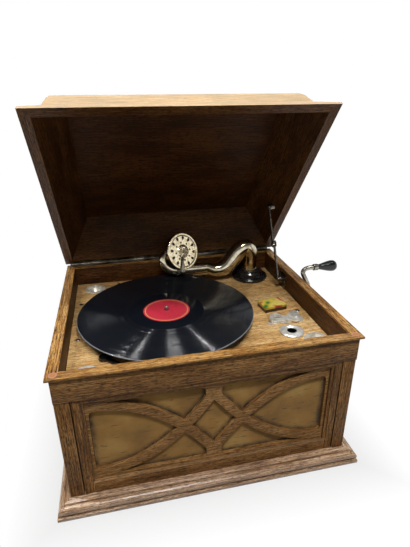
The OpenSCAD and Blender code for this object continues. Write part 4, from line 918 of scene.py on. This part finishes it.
def cloth_sheet(name, low, high, bars, count=(161, 65)):
    """A flat rectangle in X and Z; y dips by sines of the two parameters, zero at the edge and SLACK inside.

    The attribute near_bar is exp(-(d / SOOT_AND_SHADE_WIDTH) squared), where d is the distance to the nearest of bars,
    which are points in X and Z.
    """
    s, t = np.meshgrid(np.linspace(0, 1, count[0]), np.linspace(0, 1, count[1]), indexing="ij")
    middle = 0.5 * (low[1] + high[1])
    dip = SLACK * np.sin(math.pi * s) * np.sin(math.pi * t) * np.sin(7 * math.pi * s + 2 * t)
    grid = np.stack([low[0] + (high[0] - low[0]) * s, middle + dip, low[2] + (high[2] - low[2]) * t], axis=-1)
    i, j = np.meshgrid(np.arange(count[0] - 1), np.arange(count[1] - 1), indexing="ij")
    a = i * count[1] + j
    quads = np.stack([a, a + count[1], a + count[1] + 1, a + 1], axis=-1).reshape(-1, 4)
    mesh = bpy.data.meshes.new(name)
    mesh.from_pydata(grid.reshape(-1, 3).tolist(), [], quads.tolist())
    flat = grid.reshape(-1, 3)[:, ::2]
    gap = np.concatenate([np.sqrt(((rows[:, None] - bars[None]) ** 2).sum(-1)).min(1)
                          for rows in np.array_split(flat, 16)])
    near_bar = mesh.attributes.new("near_bar", "FLOAT", "POINT")
    near_bar.data.foreach_set("value", np.exp(-(gap / SOOT_AND_SHADE_WIDTH) ** 2).astype(np.float32))
    shade_by_angle(mesh)
    return mesh


low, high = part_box("grille_cloth")
bars = np.unique(along_edges(fret.data)[:, ::2].round(3), axis=0)
sheet = place_piece(cloth_sheet("grille_cloth_weave", low, high, bars), "cabinet", cloth, "grille_cloth",
                    "grille_cloth")
print("cloth beside", len(bars), "points of the fret")

# %% [markdown]
# ## Turntable felt
# A disc of brown felt lies on the platter under the record. Its nap scatters light, and its edge is round.

# %% Turntable felt
felt, tree, shader = new_finish("brown_turntable_felt", Roughness=0.95, Sheen_Weight=0.3)
place = add(tree, "TexCoord").outputs["Object"]
nap = add(tree, "TexNoise", {"Vector": place, "Scale": 1000 / 1.2, "Detail": 4.0})
brown = ramp(tree, nap.outputs["Fac"], (0.3, "#2c1c16"), (0.7, "#4a3026"))
bump = add(tree, "Bump", {"Height": nap.outputs["Fac"], "Strength": 0.6, "Distance": 0.0004})
feed(shader, Base_Color=brown.outputs[0], Normal=bump.outputs[0])


def turned(name, profile, centre, sides=128):
    """Carries a closed (radius, height) profile, in mm, round a vertical axis through centre."""
    profile = np.asarray(profile, float)
    angle = np.linspace(0, 2 * math.pi, sides, endpoint=False)
    r, z = profile[:, 0][None], profile[:, 1][None]
    ring = np.stack([r * np.cos(angle)[:, None], r * np.sin(angle)[:, None], z + 0 * angle[:, None]], axis=-1)
    ring = (ring + np.array(centre)) * MM
    return grid_mesh(name, np.concatenate([ring, ring[:1]], axis=0), caps=False)


felt_profile = [(3.6, 209.5), (124.9, 209.5), (125.4, 209.9), (125.5, 210.6), (125.1, 211.2), (124.2, 211.5),
                (3.6, 211.5)]
pad = place_piece(turned("turntable_felt_pad", felt_profile, SPINDLE_AT / MM), "turntable", felt, "felt",
                  "platter_felt")
print("felt made")

# %% [markdown]
# ## Floor
# The gramophone stands on a seamless floor. Where the camera or a mirror looks at it, the floor glows white,
# but beside the plinth a fifth of its own shading stays, so that the shadow shows.
# Other rays meet a plain grey floor, so it throws no extra light on the part.

# %% Floor
FOOTPRINT = (0.235, 0.207)  # half of the plinth's plan, in metres, with a hair to spare
FLOOR_FADE = 0.07  # metres over which the floor turns white


def looked_at(tree):
    """1 for camera, glossy and transmission rays and 0 for others: the greatest of three flags."""
    ray = add(tree, "LightPath")
    seen = add(tree, "Math", {0: ray.outputs["Is Camera Ray"], 1: ray.outputs["Is Glossy Ray"]},
               operation="MAXIMUM")
    seen = add(tree, "Math", {0: seen.outputs[0], 1: ray.outputs["Is Transmission Ray"]}, operation="MAXIMUM")
    return seen.outputs[0]


floor_mesh = bpy.data.meshes.new("pale_floor")
floor_mesh.from_pydata([(-6, -6, 0), (6, -6, 0), (6, 6, 0), (-6, 6, 0)], [], [(0, 1, 2, 3)])
floor = bpy.data.objects.new("pale_floor", floor_mesh)
bpy.context.collection.objects.link(floor)
floor_finish, tree, shader = new_finish("pale_studio_floor", Base_Color=linear("#7c7a76"), Roughness=0.9)
place = add(tree, "TexCoord").outputs["Object"]
split = add(tree, "SeparateXYZ", {0: place})
past = []
for axis, half in zip("XY", FOOTPRINT):
    size = add(tree, "Math", {0: split.outputs[axis]}, operation="ABSOLUTE")
    past.append(add(tree, "Math", {0: size.outputs[0], 1: half}, operation="SUBTRACT").outputs[0])
outside = add(tree, "Math", {0: past[0], 1: past[1]}, operation="MAXIMUM")
far = add(tree, "MapRange", {"Value": outside.outputs[0], "From Max": FLOOR_FADE, "To Min": 0.8})
blend = add(tree, "Math", {0: far.outputs[0], 1: looked_at(tree)}, operation="MULTIPLY")
white = add(tree, "Emission", {"Color": linear("#ffffff"), "Strength": 1.0})
cove = add(tree, "MixShader", {"Fac": blend.outputs[0], 1: shader.outputs["BSDF"], 2: white.outputs[0]})
tree.links.new(cove.outputs[0], next(n for n in tree.nodes if n.type == "OUTPUT_MATERIAL").inputs["Surface"])
floor_mesh.materials.append(floor_finish)
print("floor laid")

# %% [markdown]
# ## Light
# The world is a white wall near the horizon and a dim ceiling above it. A white ceiling would veil the record
# and the nickel with its reflection.
# One lamp hangs over the deck and one in front, and four small ones draw the spokes on the record
# and the lines on the nickel.

# %% World
WALL_TOP, CEILING_FROM = 0.32, 0.5  # heights of a ray's direction, from 0 at the horizon to 1 overhead
CEILING_STRENGTH = 0.15
FILL_STRENGTH = 0.12

world = bpy.data.worlds.new("studio")
bpy.context.scene.world = world
world.use_nodes = True
tree = world.node_tree
tree.nodes.clear()
way = add(tree, "SeparateXYZ", {0: add(tree, "TexCoord").outputs["Generated"]})
wall = add(tree, "MapRange", {"Value": way.outputs["Z"], "From Min": WALL_TOP, "From Max": CEILING_FROM,
                              "To Min": 1.0, "To Max": CEILING_STRENGTH})
strength = add(tree, "Mix", {"Factor": looked_at(tree), 2: FILL_STRENGTH, 3: wall.outputs[0]})
sky = add(tree, "Background", {"Color": linear("#ffffff"), "Strength": strength.outputs[0]})
add(tree, "OutputWorld", {"Surface": sky.outputs[0]})
print("world lit")


# %% Lamps
def soft_lamp(name, at, aim, size, watts):
    """An area lamp whose -Z axis points from its place to its aim."""
    data = bpy.data.lights.new(name, "AREA")
    data.shape = "RECTANGLE"
    data.size, data.size_y = size
    data.energy = watts
    lamp = bpy.data.objects.new(name, data)
    bpy.context.collection.objects.link(lamp)
    at, aim = np.array(at, float), np.array(aim, float)
    z = (at - aim) / np.linalg.norm(at - aim)
    x = np.cross([0.0, 1.0, 0.001], z)
    x /= np.linalg.norm(x)
    turn = np.eye(4)
    turn[:3, 0], turn[:3, 1], turn[:3, 2], turn[:3, 3] = x, np.cross(z, x), z, at
    lamp.matrix_world = Matrix(turn.tolist())


RECORD_AT = (-0.04, 0, 0.21)
soft_lamp("ceiling_lamp", (0.07, -0.26, 1.9), (0, 0, 0.2), (0.3, 0.14), 8)
soft_lamp("front_lamp", (-0.06, -0.95, 1.75), (0, -0.1, 0.1), (0.4, 0.2), 14.5)
small_lamps = [(-1.12, 0.12, 1.5), (-0.95, 0.1, 1.62), (-0.71, 0.0, 1.79), (0.78, -0.04, 1.72)]
for number, at in enumerate(small_lamps):
    soft_lamp(f"small_lamp_{number + 1}", at, RECORD_AT, (0.05, 0.05), 4.4)
print("lit")
